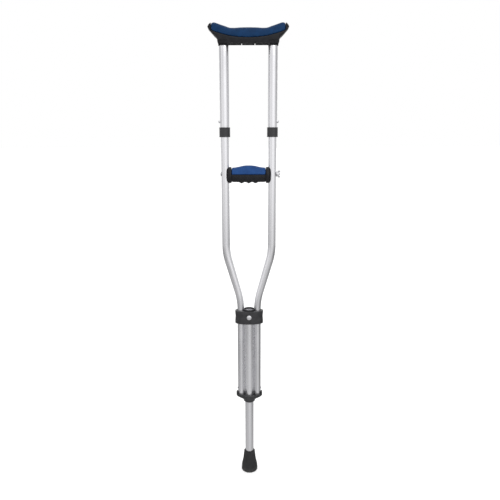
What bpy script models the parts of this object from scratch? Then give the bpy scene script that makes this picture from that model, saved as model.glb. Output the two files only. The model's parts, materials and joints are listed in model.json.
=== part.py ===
"""Underarm crutch: two bent aluminium bows round a sliding leg, with a telescoping
saddle section above, a bolted hand grip between, and a rubber tip below.

Metres, +Z up. The origin is on the floor under the middle of the rubber tip, +X runs
across the two uprights, and -Y is the front.
"""
import math

import bmesh
import bpy
from mathutils import Matrix, Vector

# Uprights
UPRIGHT_X = 0.064            # centre line of each upright
WALL = 0.0011                # wall of the aluminium tubes
UPPER_R = 0.0125             # upper tube, outer radius
BOW_R = 0.011                # bow, outer radius where the upper tube slides on it
BOW_LOW_R = 0.0095           # bow, drawn down beside the leg sleeve
FIT = 0.0004                 # radial clearance of sliding tubes
GAP = 0.0003                 # clearance of pieces that rest on each other
DRILL = 0.015                # reach of a drill from a tube's axis
OVERRUN = 0.002              # how far a cut runs on beyond the face it opens

# Heights above the floor
BOW_TOP_Z = 1.095
UPPER_Z = (1.0085, 1.248)
COLLAR_Z = (1.0037, 1.0293)
SNAP_Z = 1.0445
GRIP_Z = 0.905
CLAMP_Z = (0.4768, 0.5150)
LOCK_Z = 0.4985
CUP_RIVET_Z = 0.272
CUP_Z = (0.230, 0.2608)
BOW_LOW_Z = 0.2498

# Adjustment
SETTING = 0.0254             # pitch of the height holes
UPPER_SETTINGS = 7           # holes up each upper tube
LEG_SETTINGS = 7             # holes down the leg
GRIP_PITCH = 0.042           # pitch of the hand grip's holes
GRIP_HOLES = range(-2, 3)    # grip holes, counted from the one in use

# Bends of a bow: where its straight runs would meet, and the bend radii
BOW_LOW_X = 0.024
BEND_UPPER_Z = 0.684
BEND_LOWER_Z = 0.544
BEND_UPPER_RADIUS = 0.18
BEND_LOWER_RADIUS = 0.20

# Height buttons and their V springs
SNAP_R = 0.0039
SNAP_HOLE_R = 0.0044
SNAP_PROUD = 0.0043              # how far the button stands out of the upper tube
SNAP_FLANGE_R = 0.0050
SNAP_FLANGE = (0.0068, 0.0080)   # flange, from the tube's axis outwards
SNAP_DOME = 0.0016
STRIP = (0.0064, 0.0006)         # width and thickness of the spring's strip
STRIP_TURN = (-0.0012, -0.036)   # middle of the spring's fold, from the button's axis
STRIP_TURN_R = 0.0030

# Collars on the upper tubes' ends
COLLAR_R = 0.0148
COLLAR_EDGE = 0.0010
COLLAR_LIP_Z = 1.0075            # floor that the upper tube's end stands on

# Saddle
SADDLE_HALF_X = 0.1046
SADDLE_HALF_Y = 0.026
SADDLE_UNDER_Z = 1.240
SADDLE_SOCKET_Z = 1.236
SADDLE_TOP_Z = 1.293
SADDLE_ENDS = (0.42, 6)          # share of the depth drawn in at the ends, and its power
SADDLE_TAPER = 0.84              # depth of the base's foot, as a share of its full depth
SADDLE_BEND = 0.0030             # rounding of the base's long edges
SOCKET_R = 0.0143
CORE_Z = (1.2485, 1.2575)
CORE_HALF = (0.0740, 0.0090)
TONGUE_LOW = (-0.0615, -0.0128, 1.2500)   # corners of the tongue that covers the core
TONGUE_HIGH = (0.0615, 0.0128, 1.2607)
SPIGOT_Z = (1.205, 1.2525)
SPIGOT_R = 0.0108
SADDLE_PIN_Z = 1.2425
SADDLE_PIN_R = 0.0016
SADDLE_SLOT_X = 0.0175           # drain slots in the base's lower edge
SADDLE_SLOT = (0.0009, 0.0045)   # half width and height of a slot

# Front outline of the saddle's base: its underside, and the seat that carries the cushion's
# edge, which turns up into a lip at each end
BASE_UNDER = [(0, SADDLE_UNDER_Z), (0.0780, SADDLE_UNDER_Z), (0.0796, 1.2445), (0.0800, 1.2510),
              (0.0890, 1.2613), (0.0980, 1.2710), (0.1025, 1.2758), (0.1042, 1.2790),
              (SADDLE_HALF_X, 1.2805)]
BASE_SEAT = [(0, 1.2535), (0.020, 1.2542), (0.036, 1.2556), (0.045, 1.2568), (0.061, 1.2603),
             (0.076, 1.2645), (0.087, 1.2685), (0.0950, 1.2718), (0.0958, 1.2725),
             (0.0964, 1.2898), (0.0985, 1.2888), (0.1010, 1.2868), (0.1030, 1.2845),
             (0.1042, 1.2822), (SADDLE_HALF_X, 1.2812)]
# Top of the cushion: a low crown in the middle, and a straight slope up to each end
CUSHION_TOP = [(0, 1.2800), (0.020, 1.2795), (0.038, 1.2784), (0.0445, 1.2784), (0.061, 1.2834),
               (0.076, 1.2888), (0.083, 1.2916), (0.0885, SADDLE_TOP_Z), (0.0925, 1.2924),
               (0.0955, 1.2906)]
CUSHION_INSET = 0.0006           # how far the cushion's sides stand back from the base's
CUSHION_FOOT = 0.0015            # how far its underside stands back from its sides

# Hand grip: black body with finger ridges below, blue pad above, bolted through
GRIP_HOLE_R = 0.0038
GRIP_HALF_X = 0.0469             # between the flanges
GRIP_LIP_X = 0.0551              # the flanges' lips lap over the bows
GRIP_HALF_Y = 0.0182
GRIP_CORE_R = 0.0130
GRIP_CORE_X = 0.0500
GRIP_SPLIT_Z = 0.9042            # where the blue pad meets the black underside
FLANGE_R = 0.0220
FLANGE_Z = 0.9023
FLANGE_EDGE = 0.0016
SCALLOP_Z = 0.8840               # underside between the finger ridges
RIDGES = (-0.0195, 0.0, 0.0185)
RIDGE_DEPTH = 0.0036
RIDGE_WIDTH = 0.0050
PAD_TOP = [(0, 0.9291), (0.008, 0.9289), (0.016, 0.9279), (0.026, 0.9256), (0.036, 0.9237),
           (GRIP_HALF_X, 0.9229)]
GRIP_STATIONS = 24               # sections along the grip
BOLT_R = 0.0030
BOLT_END_X = 0.0850
BOLT_HEAD = (0.0060, 0.0022)     # radius and height
BOLT_EDGE = 0.0006
WASHER_X = (0.0753, 0.0765)
WASHER_R = 0.0075
NUT_X = (0.0768, 0.0828)
NUT_REACH_X = 0.0865
NUT_SPAN = 0.0135
NUT_TILT = math.radians(-52)     # the wings' turn about the bolt at rest
WING_HALF_T = 0.0010

# Clamp, cup and rivets
CLAMP_HALF = (0.0405, 0.0192)
CLAMP_EDGE = 0.0016
CLAMP_WAIST = 0.0011
CLAMP_RING = (0.0158, 0.5190)    # radius and top of the ring round the leg sleeve
CLAMP_LIP_R = 0.0133
CLAMP_RIVET_SEAT = 0.0138
CLAMP_SEAT_R = 0.0044
CUP_HALF = (0.0386, 0.0188)
CUP_EDGE = 0.0007
CUP_PLUG_Z = 0.280               # tops of the plugs that stand up in the bows
# The cup below its rim: half width, half depth, height above its foot, and roundness
CUP_FUNNEL = [(0.0154, 0.0154, 0, 2.0), (0.0166, 0.0161, 0.0010, 2.0),
              (0.0180, 0.0164, 0.0050, 2.0), (0.0218, 0.0168, 0.0095, 2.05),
              (0.0305, 0.0176, 0.0135, 2.1), (0.0360, 0.0182, 0.0165, 2.2),
              (0.0382, 0.0186, 0.0190, 2.25)]
# The cup's rim dips between the horns at its two ends, as (x, height)
CUP_DIP = [(0, 0.2510), (0.008, 0.2514), (0.016, 0.2530), (0.024, 0.2546), (0.031, 0.2554),
           (0.0345, 0.2575), (0.0358, 0.2630)]
OVAL_POWER = 2.25
RIVET_R = 0.0016
RIVET_HOLE_R = 0.0020
RIVET_HEAD = (0.0036, 0.0016)
CLAMP_RIVET_LENGTH = 0.0065
CUP_RIVET_LENGTH = 0.0060

# Leg lock: a sprung pin through clamp and sleeve into the leg
LOCK_R = 0.0029
LOCK_HOLE_R = 0.0033
LOCK_KNOB = (0.0067, 0.0044)     # radius and height of the knob
LOCK_CROWN = 0.0012
LOCK_EDGE = 0.0006
LOCK_TIP_Y = 0.0106              # how far the pin's tip stays from the leg's axis
SPRING_POCKET = (0.0052, 0.0120, 0.0176, 0.4815, 0.5115)   # half width, near, far, low and high
LEAF = (0.0042, 0.0005, 0.4825, 0.5110)   # half width, thickness, low and high of the leaf spring

# Leg and its sleeve
LEG_R = 0.0125
LEG_WALL = 0.0015
LEG_Z = (0.0142, 0.5085)
SLEEVE_R = 0.0141
SLEEVE_Z = (0.2392, 0.5140)

# Rubber tip
TIP_TOP_Z = 0.0635
TIP_R = 0.0241
TIP_FLOOR_Z = 0.0120
# Outer side of the tip, from its top edge down to the floor
TIP_OUTLINE = [(0.0157, TIP_TOP_Z), (0.0164, 0.0625), (0.0172, 0.0545), (0.0180, 0.0475),
               (0.0188, 0.0395), (0.0199, 0.0335), (0.0215, 0.0262), (0.0226, 0.0200),
               (0.0234, 0.0130), (TIP_R, 0.0060), (TIP_R, 0.0030), (0.0233, 0.0010), (0.0219, 0)]
TREAD_DEPTH = 0.0020
TREAD_DRAFT = 0.0006
TREAD_GROOVES = [(0.0190, 0.0160), (0.0122, 0.0092)]   # outer and inner radius of each groove
TREAD_DIMPLE = 0.0054
TIP_WASHER_T = 0.0013

# Smoothness
TUBE_SIDES = 28
BOW_SIDES = 20
HOLE_SIDES = 12
OVAL_SIDES = 40
BEND_STEPS = 5
ARC_STEPS = 10

ALUMINIUM = ("aluminium", (0.80, 0.81, 0.83), 0.32, 1.0)
STEEL = ("zinc_steel", (0.62, 0.63, 0.65), 0.30, 1.0)
BLACK = ("black_plastic", (0.035, 0.035, 0.038), 0.55, 0.0)
SADDLE_BLACK = ("saddle_black", (0.020, 0.020, 0.024), 0.60, 0.0)
BLUE = ("blue_pad", (0.020, 0.085, 0.260), 0.60, 0.0)
RUBBER = ("grey_rubber", (0.030, 0.030, 0.030), 0.75, 0.0)


# ---------------------------------------------------------------- scene helpers
def clear_scene():
    for old in list(bpy.data.objects):
        bpy.data.objects.remove(old, do_unlink=True)


def new_collection(name):
    collection = bpy.data.collections.new(name)
    bpy.context.scene.collection.children.link(collection)
    return collection


def material(spec):
    name, colour, roughness, metallic = spec
    if name in bpy.data.materials:
        return bpy.data.materials[name]
    made = bpy.data.materials.new(name)
    made.use_nodes = True
    shader = made.node_tree.nodes["Principled BSDF"]
    shader.inputs["Base Color"].default_value = (*colour, 1.0)
    shader.inputs["Roughness"].default_value = roughness
    shader.inputs["Metallic"].default_value = metallic
    made.diffuse_color = (*colour, 1.0)
    return made


def part(name, mesh, spec, origin=(0, 0, 0)):
    """A named sub-part; origin is where its object stands, its mesh being relative to it."""
    made = bpy.data.objects.new(name, mesh)
    made.location = origin
    mesh.materials.clear()
    mesh.materials.append(material(spec))
    mesh.shade_smooth()
    mesh.set_sharp_from_angle(angle=math.radians(35))
    PARTS.objects.link(made)
    return made


def cutter(name, mesh, origin=(0, 0, 0)):
    made = bpy.data.objects.new(name, mesh)
    made.location = origin
    made.hide_render = True
    made.display_type = "WIRE"
    CUTTERS.objects.link(made)
    return made


def boolean(target, tool, operation="DIFFERENCE"):
    modifier = target.modifiers.new(tool.name, "BOOLEAN")
    modifier.operation = operation
    modifier.solver = "EXACT"
    modifier.object = tool
    return modifier


def bevel(target, width, segments=2, angle=40):
    modifier = target.modifiers.new("rounded edges", "BEVEL")
    modifier.width = width
    modifier.segments = segments
    modifier.limit_method = "ANGLE"
    modifier.angle_limit = math.radians(angle)
    return modifier


# ---------------------------------------------------------------- shape helpers
def mesh_of(name, bm):
    bmesh.ops.recalc_face_normals(bm, faces=bm.faces)
    mesh = bpy.data.meshes.new(name)
    bm.to_mesh(mesh)
    bm.free()
    return mesh


def add_rod(bm, start, end, radius, sides):
    """A closed cylinder from start to end."""
    start = Vector(start)
    run = Vector(end) - start
    turn = Vector((0, 0, 1)).rotation_difference(run).to_matrix().to_4x4()
    place = Matrix.Translation(start + run / 2) @ turn
    bmesh.ops.create_cone(bm, cap_ends=True, segments=sides, radius1=radius,
                          radius2=radius, depth=run.length, matrix=place)


def rods(name, pieces):
    """One mesh of separate closed rods, each given as (start, end, radius, sides)."""
    bm = bmesh.new()
    for start, end, radius, sides in pieces:
        add_rod(bm, start, end, radius, sides)
    return mesh_of(name, bm)


def box_mesh(name, low, high):
    bm = bmesh.new()
    low, high = Vector(low), Vector(high)
    middle = Matrix.Translation((low + high) / 2)
    bmesh.ops.create_cube(bm, size=1.0, matrix=middle @ Matrix.Diagonal((*(high - low), 1.0)))
    return mesh_of(name, bm)


def turned(name, profile, spec, sides=TUBE_SIDES, origin=(0, 0, 0), axis="Z", closed=True):
    """A turned piece: (radius, height) points, down its outer side, turned about its axis."""
    mesh = bpy.data.meshes.new(name)
    count = len(profile)
    edges = [(i, i + 1) for i in range(count - 1)]
    if closed:
        edges.append((count - 1, 0))
    mesh.from_pydata([(radius, 0, height) for radius, height in profile], edges, [])
    made = part(name, mesh, spec, origin)
    screw = made.modifiers.new("turned", "SCREW")
    screw.axis = "Z"
    screw.steps = sides
    screw.render_steps = sides
    screw.use_merge_vertices = True
    screw.merge_threshold = 0.00001
    screw.use_smooth_shade = True
    made.rotation_euler = {"Z": (0, 0, 0), "X": (0, math.pi / 2, 0), "-X": (0, -math.pi / 2, 0),
                           "-Y": (math.pi / 2, 0, 0), "Y": (-math.pi / 2, 0, 0)}[axis]
    return made


def tube_profile(outer, inner, low, high):
    return [(outer, high), (outer, low), (inner, low), (inner, high)]


def dome(radius, height, steps=4):
    """Points of a shallow domed end, from its middle out to its rim."""
    ball = (radius ** 2 + height ** 2) / (2 * height)
    widths = [radius * i / steps for i in range(steps + 1)]
    return [(r, math.sqrt(ball ** 2 - r ** 2) - (ball - height)) for r in widths]


def loft(name, sections):
    """A closed skin over sections of equally many points, with flat ends."""
    bm = bmesh.new()
    rings = [[bm.verts.new(point) for point in section] for section in sections]
    count = len(rings[0])
    for first, second in zip(rings, rings[1:]):
        for i in range(count):
            j = (i + 1) % count
            bm.faces.new((first[i], first[j], second[j], second[i]))
    bm.faces.new(rings[0])
    bm.faces.new(rings[-1])
    return mesh_of(name, bm)


def oval(half_x, half_y, height, power, sides):
    """A super-ellipse of points at one height; power 2 is a plain ellipse."""
    points = []
    for i in range(sides):
        angle = 2 * math.pi * (i + 0.5) / sides
        c, s = math.cos(angle), math.sin(angle)
        x = math.copysign(abs(c) ** (2 / power), c) * half_x
        y = math.copysign(abs(s) ** (2 / power), s) * half_y
        points.append((x, y, height))
    return points


def along(stations, x):
    """The value at |x| of a smooth line through (x, value) stations."""
    x = abs(x)
    for (x0, v0), (x1, v1) in zip(stations, stations[1:]):
        if x <= x1:
            t = (x - x0) / (x1 - x0)
            return v0 + (v1 - v0) * t
    return stations[-1][1]


def rounded_path(corners, radii, steps):
    """A line of straight runs whose inner corners are rounded by arcs of the given radii."""
    path = [Vector(corners[0])]
    for i, radius in enumerate(radii, start=1):
        before, corner, after = (Vector(corners[k]) for k in (i - 1, i, i + 1))
        inward, outward = (before - corner).normalized(), (after - corner).normalized()
        half = inward.angle(outward) / 2
        centre = corner + (inward + outward).normalized() * radius / math.sin(half)
        reach = radius / math.tan(half)
        start = (corner + inward * reach - centre).normalized()
        end = (corner + outward * reach - centre).normalized()
        for k in range(steps + 1):
            path.append(centre + start.slerp(end, k / steps) * radius)
    path.append(Vector(corners[-1]))
    return path


def pipe(name, path, radii, sides):
    """A solid rod along a path, as a mesh: a bevelled curve with its caps welded on."""
    curve = bpy.data.curves.new(name, "CURVE")
    curve.dimensions = "3D"
    curve.use_fill_caps = True
    curve.bevel_resolution = sides // 2 - 2
    curve.bevel_depth = 1.0
    spline = curve.splines.new("POLY")
    spline.points.add(len(path) - 1)
    for point, place, radius in zip(spline.points, path, radii):
        point.co = (*place, 1.0)
        point.radius = radius
    holder = bpy.data.objects.new(name, curve)
    bpy.context.scene.collection.objects.link(holder)
    bpy.context.view_layer.update()
    evaluated = holder.evaluated_get(bpy.context.evaluated_depsgraph_get())
    raw = bpy.data.meshes.new_from_object(evaluated)
    bm = bmesh.new()
    bm.from_mesh(raw)
    bmesh.ops.remove_doubles(bm, verts=bm.verts, dist=0.00001)
    bpy.data.objects.remove(holder, do_unlink=True)
    return mesh_of(name, bm)


def sides():
    """The two uprights: their names and the sign of x."""
    return (("left", -1), ("right", 1))


# ---------------------------------------------------------------- bows
def bow_radius(z):
    """Outer radius of a bow, which is drawn down between its two bends."""
    drawn = min(1.0, max(0.0, (BEND_UPPER_Z - z) / (BEND_UPPER_Z - BEND_LOWER_Z)))
    return BOW_R + (BOW_LOW_R - BOW_R) * drawn


def bow(side, sign):
    corners = [(sign * UPRIGHT_X, 0, BOW_TOP_Z), (sign * UPRIGHT_X, 0, BEND_UPPER_Z),
               (sign * BOW_LOW_X, 0, BEND_LOWER_Z), (sign * BOW_LOW_X, 0, BOW_LOW_Z)]
    path = rounded_path(corners, (BEND_UPPER_RADIUS, BEND_LOWER_RADIUS), BEND_STEPS)
    outer = [bow_radius(point.z) for point in path]
    made = part("bow_" + side, pipe("bow_" + side, path, outer, BOW_SIDES), ALUMINIUM)
    bore_path = [path[0] + Vector((0, 0, 0.002)), *path[1:-1], path[-1] - Vector((0, 0, 0.002))]
    bore = pipe("bow_bore_" + side, bore_path, [radius - WALL for radius in outer], BOW_SIDES)
    boolean(made, cutter("bow_bore_" + side, bore))

    drill = []
    for k in GRIP_HOLES:
        z = GRIP_Z + k * GRIP_PITCH
        middle = sign * UPRIGHT_X
        drill.append(((middle - DRILL, 0, z), (middle + DRILL, 0, z), GRIP_HOLE_R, HOLE_SIDES))
    drill.append(((sign * UPRIGHT_X, 0, SNAP_Z), (sign * (UPRIGHT_X + DRILL), 0, SNAP_Z),
                  SNAP_HOLE_R, HOLE_SIDES))
    drill.append(((sign * BOW_LOW_X, 0, LOCK_Z), (sign * BOW_LOW_X, DRILL, LOCK_Z),
                  RIVET_HOLE_R, HOLE_SIDES))
    drill.append(((sign * BOW_LOW_X, 0, CUP_RIVET_Z), (sign * (BOW_LOW_X + DRILL), 0, CUP_RIVET_Z),
                  RIVET_HOLE_R, HOLE_SIDES))
    boolean(made, cutter("bow_holes_" + side, rods("bow_holes_" + side, drill)))


# ---------------------------------------------------------------- height buttons
def snap_button(side, sign):
    """A domed button with the flange that keeps it in the bow; its axis points outwards."""
    tip = UPPER_R + SNAP_PROUD
    shoulder = tip - SNAP_DOME
    outline = [(r, shoulder + z) for r, z in dome(SNAP_R, SNAP_DOME)]
    outline += [(SNAP_R, SNAP_FLANGE[1]), (SNAP_FLANGE_R, SNAP_FLANGE[1]),
                (SNAP_FLANGE_R, SNAP_FLANGE[0]), (0, SNAP_FLANGE[0])]
    turned("snap_button_" + side, outline, STEEL, 16, (sign * UPRIGHT_X, 0, SNAP_Z),
           "X" if sign > 0 else "-X", closed=False)


def snap_spring(side, sign):
    """A folded steel strip in the bow: one leg behind the button, one on the far wall."""
    width, thickness = STRIP
    turn_x, turn_z = STRIP_TURN
    button_leg = SNAP_FLANGE[0] - GAP - thickness
    far_leg = -(BOW_R - WALL) * 0.86
    run = [(button_leg, 0.006), (button_leg, -0.006)]
    for k in range(7):
        angle = math.pi * k / 6
        run.append((turn_x + STRIP_TURN_R * math.cos(angle), turn_z - STRIP_TURN_R * math.sin(angle)))
    run += [(far_leg, -0.004), (far_leg + 0.0006, 0.004)]
    bm = bmesh.new()
    rows = [[bm.verts.new((sign * x, y, z)) for y in (-width / 2, width / 2)] for x, z in run]
    for first, second in zip(rows, rows[1:]):
        bm.faces.new((first[0], first[1], second[1], second[0]))
    made = part("snap_spring_" + side, mesh_of("snap_spring_" + side, bm), STEEL,
                (sign * UPRIGHT_X, 0, SNAP_Z))
    shell = made.modifiers.new("strip", "SOLIDIFY")
    shell.thickness = thickness
    shell.offset = 0.0


# ---------------------------------------------------------------- upper section
def upper_tube(side, sign):
    name = "upper_tube_" + side
    bore = BOW_R + FIT
    made = turned(name, tube_profile(UPPER_R, bore, *UPPER_Z), ALUMINIUM,
                  origin=(sign * UPRIGHT_X, 0, 0))
    drill = []
    for k in range(UPPER_SETTINGS):
        z = SNAP_Z + k * SETTING
        drill.append(((0, 0, z), (sign * DRILL, 0, z), SNAP_HOLE_R, HOLE_SIDES))
    pin_hole = SADDLE_PIN_R + GAP
    drill.append(((0, -DRILL, SADDLE_PIN_Z), (0, DRILL, SADDLE_PIN_Z), pin_hole, HOLE_SIDES))
    holes = cutter(name + "_holes", rods(name + "_holes", drill), (sign * UPRIGHT_X, 0, 0))
    boolean(made, holes)


def collar(side, sign):
    low, high = COLLAR_Z
    edge = COLLAR_EDGE
    seat = UPPER_R + GAP
    throat = BOW_R + FIT
    profile = [(COLLAR_R - edge, high), (COLLAR_R, high - edge), (COLLAR_R, low + edge),
               (COLLAR_R - edge, low), (throat, low), (throat, COLLAR_LIP_Z),
               (seat, COLLAR_LIP_Z), (seat, high)]
    turned("collar_" + side, profile, BLACK, origin=(sign * UPRIGHT_X, 0, 0))


# ---------------------------------------------------------------- saddle
def half_depth(x):
    """Half of the saddle's depth: full across the middle, and drawn in round at the ends."""
    share, power = SADDLE_ENDS
    return SADDLE_HALF_Y * (1 - share * (abs(x) / SADDLE_HALF_X) ** power)


def base_section(x):
    """A tapering rounded section of the base, in the plane at x."""
    low, high, depth = along(BASE_UNDER, x), along(BASE_SEAT, x), half_depth(x)
    foot = depth * SADDLE_TAPER
    bend = min(SADDLE_BEND, (high - low) * 0.45)
    half = [(foot - bend, low), (foot - 0.3 * bend, low + 0.3 * bend), (foot + 0.2 * bend, low + bend),
            (depth - 0.1 * bend, high - bend), (depth - 0.25 * bend, high - 0.3 * bend),
            (depth - bend, high)]
    return [(x, y, z) for y, z in half] + [(x, -y, z) for y, z in reversed(half)]


def cushion_section(x):
    """A bun-shaped section of the cushion, flat below where it lies on the seat."""
    low, high = along(BASE_SEAT, x) + GAP, along(CUSHION_TOP, x)
    depth = half_depth(x) - CUSHION_INSET
    half = [(depth - CUSHION_FOOT, low)]
    for k in range(7):
        angle = math.radians(10 + 80 * k / 6)
        half.append((depth * math.cos(angle) ** 0.55, low + (high - low) * math.sin(angle) ** 0.8))
    return [(x, y, z) for y, z in half] + [(x, -y, z) for y, z in reversed(half[:-1])]


def tongue(name, grow):
    """The raised middle of the base, grown on every side by a gap."""
    spread = Vector((grow, grow, grow))
    return cutter(name, box_mesh(name, Vector(TONGUE_LOW) - spread, Vector(TONGUE_HIGH) + spread))


def stations(marks):
    """Every x where an outline turns, on both sides of the middle, in order."""
    xs = sorted({round(x, 5) for x in marks} - {0.0})
    return [-x for x in reversed(xs)] + [0.0] + xs


def saddle_base():
    xs = stations([x for x, _ in BASE_UNDER + BASE_SEAT])
    made = part("saddle_base", loft("saddle_base", [base_section(x) for x in xs]), SADDLE_BLACK)
    boolean(made, tongue("saddle_tongue", 0.0), "UNION")
    under = SADDLE_SOCKET_Z - OVERRUN
    sockets, bores = [], []
    for _, sign in sides():
        x = sign * UPRIGHT_X
        sockets.append(((x, 0, SADDLE_SOCKET_Z), (x, 0, CORE_Z[0]), SOCKET_R, TUBE_SIDES))
        bores.append(((x, 0, under), (x, 0, SPIGOT_Z[1] + GAP), UPPER_R + FIT, TUBE_SIDES))
    boolean(made, cutter("saddle_sockets", rods("saddle_sockets", sockets)), "UNION")
    beam_x, beam_y = CORE_HALF[0] + GAP, CORE_HALF[1] + GAP
    pocket = box_mesh("saddle_pocket", (-beam_x, -beam_y, under), (beam_x, beam_y, CORE_Z[1] + GAP))
    boolean(made, cutter("saddle_pocket", pocket))
    boolean(made, cutter("saddle_bores", rods("saddle_bores", bores)))
    half_x, tall = SADDLE_SLOT
    slot = box_mesh("saddle_slot", (-half_x, -SADDLE_HALF_Y, SADDLE_UNDER_Z - OVERRUN),
                    (half_x, SADDLE_HALF_Y, SADDLE_UNDER_Z + tall))
    for side, sign in sides():
        boolean(made, cutter("saddle_slot_" + side, slot, (sign * SADDLE_SLOT_X, 0, 0)))


def saddle_cushion():
    xs = stations([x for x, _ in CUSHION_TOP])
    made = part("saddle_cushion", loft("saddle_cushion", [cushion_section(x) for x in xs]), BLUE)
    boolean(made, tongue("cushion_groove", GAP))


def saddle_core():
    """The moulded beam in the saddle, with a spigot down into each upper tube."""
    half_x, half_y = CORE_HALF
    made = part("saddle_core", box_mesh("saddle_core", (-half_x, -half_y, CORE_Z[0]),
                                        (half_x, half_y, CORE_Z[1])), BLACK)
    spigots, pins = [], []
    for _, sign in sides():
        x = sign * UPRIGHT_X
        spigots.append(((x, 0, SPIGOT_Z[0]), (x, 0, SPIGOT_Z[1]), SPIGOT_R, BOW_SIDES))
        pins.append(((x, -DRILL, SADDLE_PIN_Z), (x, DRILL, SADDLE_PIN_Z), SADDLE_PIN_R + GAP,
                     HOLE_SIDES))
    boolean(made, cutter("saddle_spigots", rods("saddle_spigots", spigots)), "UNION")
    boolean(made, cutter("saddle_core_pin_holes", rods("saddle_core_pin_holes", pins)))


def saddle_pin(side, sign):
    half = UPPER_R - FIT
    profile = [(0, half), (SADDLE_PIN_R, half), (SADDLE_PIN_R, -half), (0, -half)]
    turned("saddle_pin_" + side, profile, STEEL, HOLE_SIDES,
           (sign * UPRIGHT_X, 0, SADDLE_PIN_Z), "Y", closed=False)


# ---------------------------------------------------------------- hand grip
def ridge_depth(x):
    """How far the finger ridges stand down from the scallops at x."""
    return RIDGE_DEPTH * max(math.exp(-((x - ridge) / RIDGE_WIDTH) ** 2) for ridge in RIDGES)


def grip_xs():
    return [GRIP_HALF_X * (2 * k / GRIP_STATIONS - 1) for k in range(GRIP_STATIONS + 1)]


def grip_underside_section(x):
    """The black lower half: flat on top, round below, deeper at a finger ridge."""
    depth = GRIP_SPLIT_Z - SCALLOP_Z + ridge_depth(x)
    points = [(x, 0.0, GRIP_SPLIT_Z)]
    for k in range(ARC_STEPS + 1):
        angle = math.pi * k / ARC_STEPS
        points.append((x, GRIP_HALF_Y * math.cos(angle), GRIP_SPLIT_Z - depth * math.sin(angle)))
    return points


def grip_pad_section(x):
    """The blue upper half: a bulging half-round, flat where it lies on the body."""
    low = GRIP_SPLIT_Z + GAP
    tall = along(PAD_TOP, x) - low
    points = [(x, 0.0, low)]
    for k in range(ARC_STEPS + 1):
        angle = math.pi * k / ARC_STEPS
        points.append((x, GRIP_HALF_Y * math.cos(angle), low + tall * math.sin(angle) ** 0.9))
    return points


def grip_core(radius):
    """The round middle of the grip, which the pad closes over."""
    return [((-GRIP_CORE_X, 0, GRIP_Z), (GRIP_CORE_X, 0, GRIP_Z), radius, TUBE_SIDES)]


def grip_body():
    sections = [grip_underside_section(x) for x in grip_xs()]
    made = part("grip_body", loft("grip_body", sections), BLACK)
    boolean(made, cutter("grip_core", rods("grip_core", grip_core(GRIP_CORE_R))), "UNION")
    hug = []
    for side, sign in sides():
        name = "grip_flange_" + side
        start, end = (sign * GRIP_HALF_X, 0, FLANGE_Z), (sign * GRIP_LIP_X, 0, FLANGE_Z)
        flange = cutter(name, rods(name, [(start, end, FLANGE_R, TUBE_SIDES)]))
        bevel(flange, FLANGE_EDGE)
        boolean(made, flange, "UNION")
        x = sign * UPRIGHT_X
        hug.append(((x, 0, FLANGE_Z - 2 * FLANGE_R), (x, 0, FLANGE_Z + 2 * FLANGE_R), BOW_R + FIT,
                    TUBE_SIDES))
    boolean(made, cutter("grip_hug", rods("grip_hug", hug)))
    bore = [((-UPRIGHT_X, 0, GRIP_Z), (UPRIGHT_X, 0, GRIP_Z), BOLT_R + FIT, HOLE_SIDES)]
    boolean(made, cutter("grip_bore", rods("grip_bore", bore)))


def grip_cushion():
    inset = GRIP_HALF_X - GAP
    sections = []
    for x in grip_xs():
        section = grip_pad_section(x)
        sections.append([(max(-inset, min(inset, px)), y, z) for px, y, z in section])
    made = part("grip_cushion", loft("grip_cushion", sections), BLUE)
    boolean(made, cutter("grip_cushion_bore", rods("grip_cushion_bore", grip_core(GRIP_CORE_R + FIT))))


def grip_bolt():
    """The bolt through both bows and the grip, its domed head on the left."""
    head_r, head_h = BOLT_HEAD
    seat = UPRIGHT_X + BOW_R + GAP
    head = [(r, seat + z) for r, z in dome(head_r, head_h)]
    outline = [*head, (head_r, seat), (BOLT_R, seat), (BOLT_R, -BOLT_END_X + BOLT_EDGE),
               (BOLT_R - BOLT_EDGE, -BOLT_END_X), (0, -BOLT_END_X)]
    turned("grip_bolt", outline, STEEL, 16, (0, 0, GRIP_Z), "-X", closed=False)


def grip_washer():
    low, high = WASHER_X
    profile = tube_profile(WASHER_R, BOLT_R + FIT, 0, high - low)
    turned("grip_washer", profile, STEEL, 24, (low, 0, GRIP_Z), "X")


def wing_nut():
    """A waisted hub with two flared wings, about the bolt's axis."""
    low, high = NUT_X
    tall = high - low
    bore = BOLT_R + FIT
    profile = [(0.0046, tall), (0.0052, tall * 0.45), (0.0062, 0.0008), (0.0060, 0), (bore, 0),
               (bore, tall)]
    made = turned("wing_nut", profile, STEEL, 24, (low, 0, GRIP_Z), "X")
    reach = NUT_REACH_X - low
    outline = [(0.0040, 0.0010), (0.0040, 0.0052), (0.0070, 0.0082), (0.0100, reach),
               (0.0125, reach - 0.0003), (NUT_SPAN, reach - 0.0024), (0.0128, reach - 0.0052),
               (0.0092, 0.0020), (0.0062, 0.0006)]
    bm = bmesh.new()
    for sign in (-1, 1):
        across, along_bolt = math.cos(NUT_TILT) * sign, math.sin(NUT_TILT) * sign
        normal = Vector((0, -along_bolt, across)) * WING_HALF_T
        front, back = [], []
        for out, up in outline:
            middle = Vector((up, out * across, out * along_bolt))
            front.append(bm.verts.new(middle + normal))
            back.append(bm.verts.new(middle - normal))
        bm.faces.new(front)
        bm.faces.new(list(reversed(back)))
        for i in range(len(outline)):
            j = (i + 1) % len(outline)
            bm.faces.new((front[i], back[i], back[j], front[j]))
    wings = cutter("nut_wings", mesh_of("nut_wings", bm), (low, 0, GRIP_Z))
    bevel(wings, 0.0006, segments=1)
    boolean(made, wings, "UNION")


# ---------------------------------------------------------------- leg sleeve, clamp and cup
def lock_hole(name):
    """The hole that the leg's lock pin runs in, from the leg's axis out through the front."""
    return cutter(name, rods(name, [((0, 0, LOCK_Z), (0, -2 * DRILL, LOCK_Z), LOCK_HOLE_R,
                                     HOLE_SIDES)]))


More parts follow.
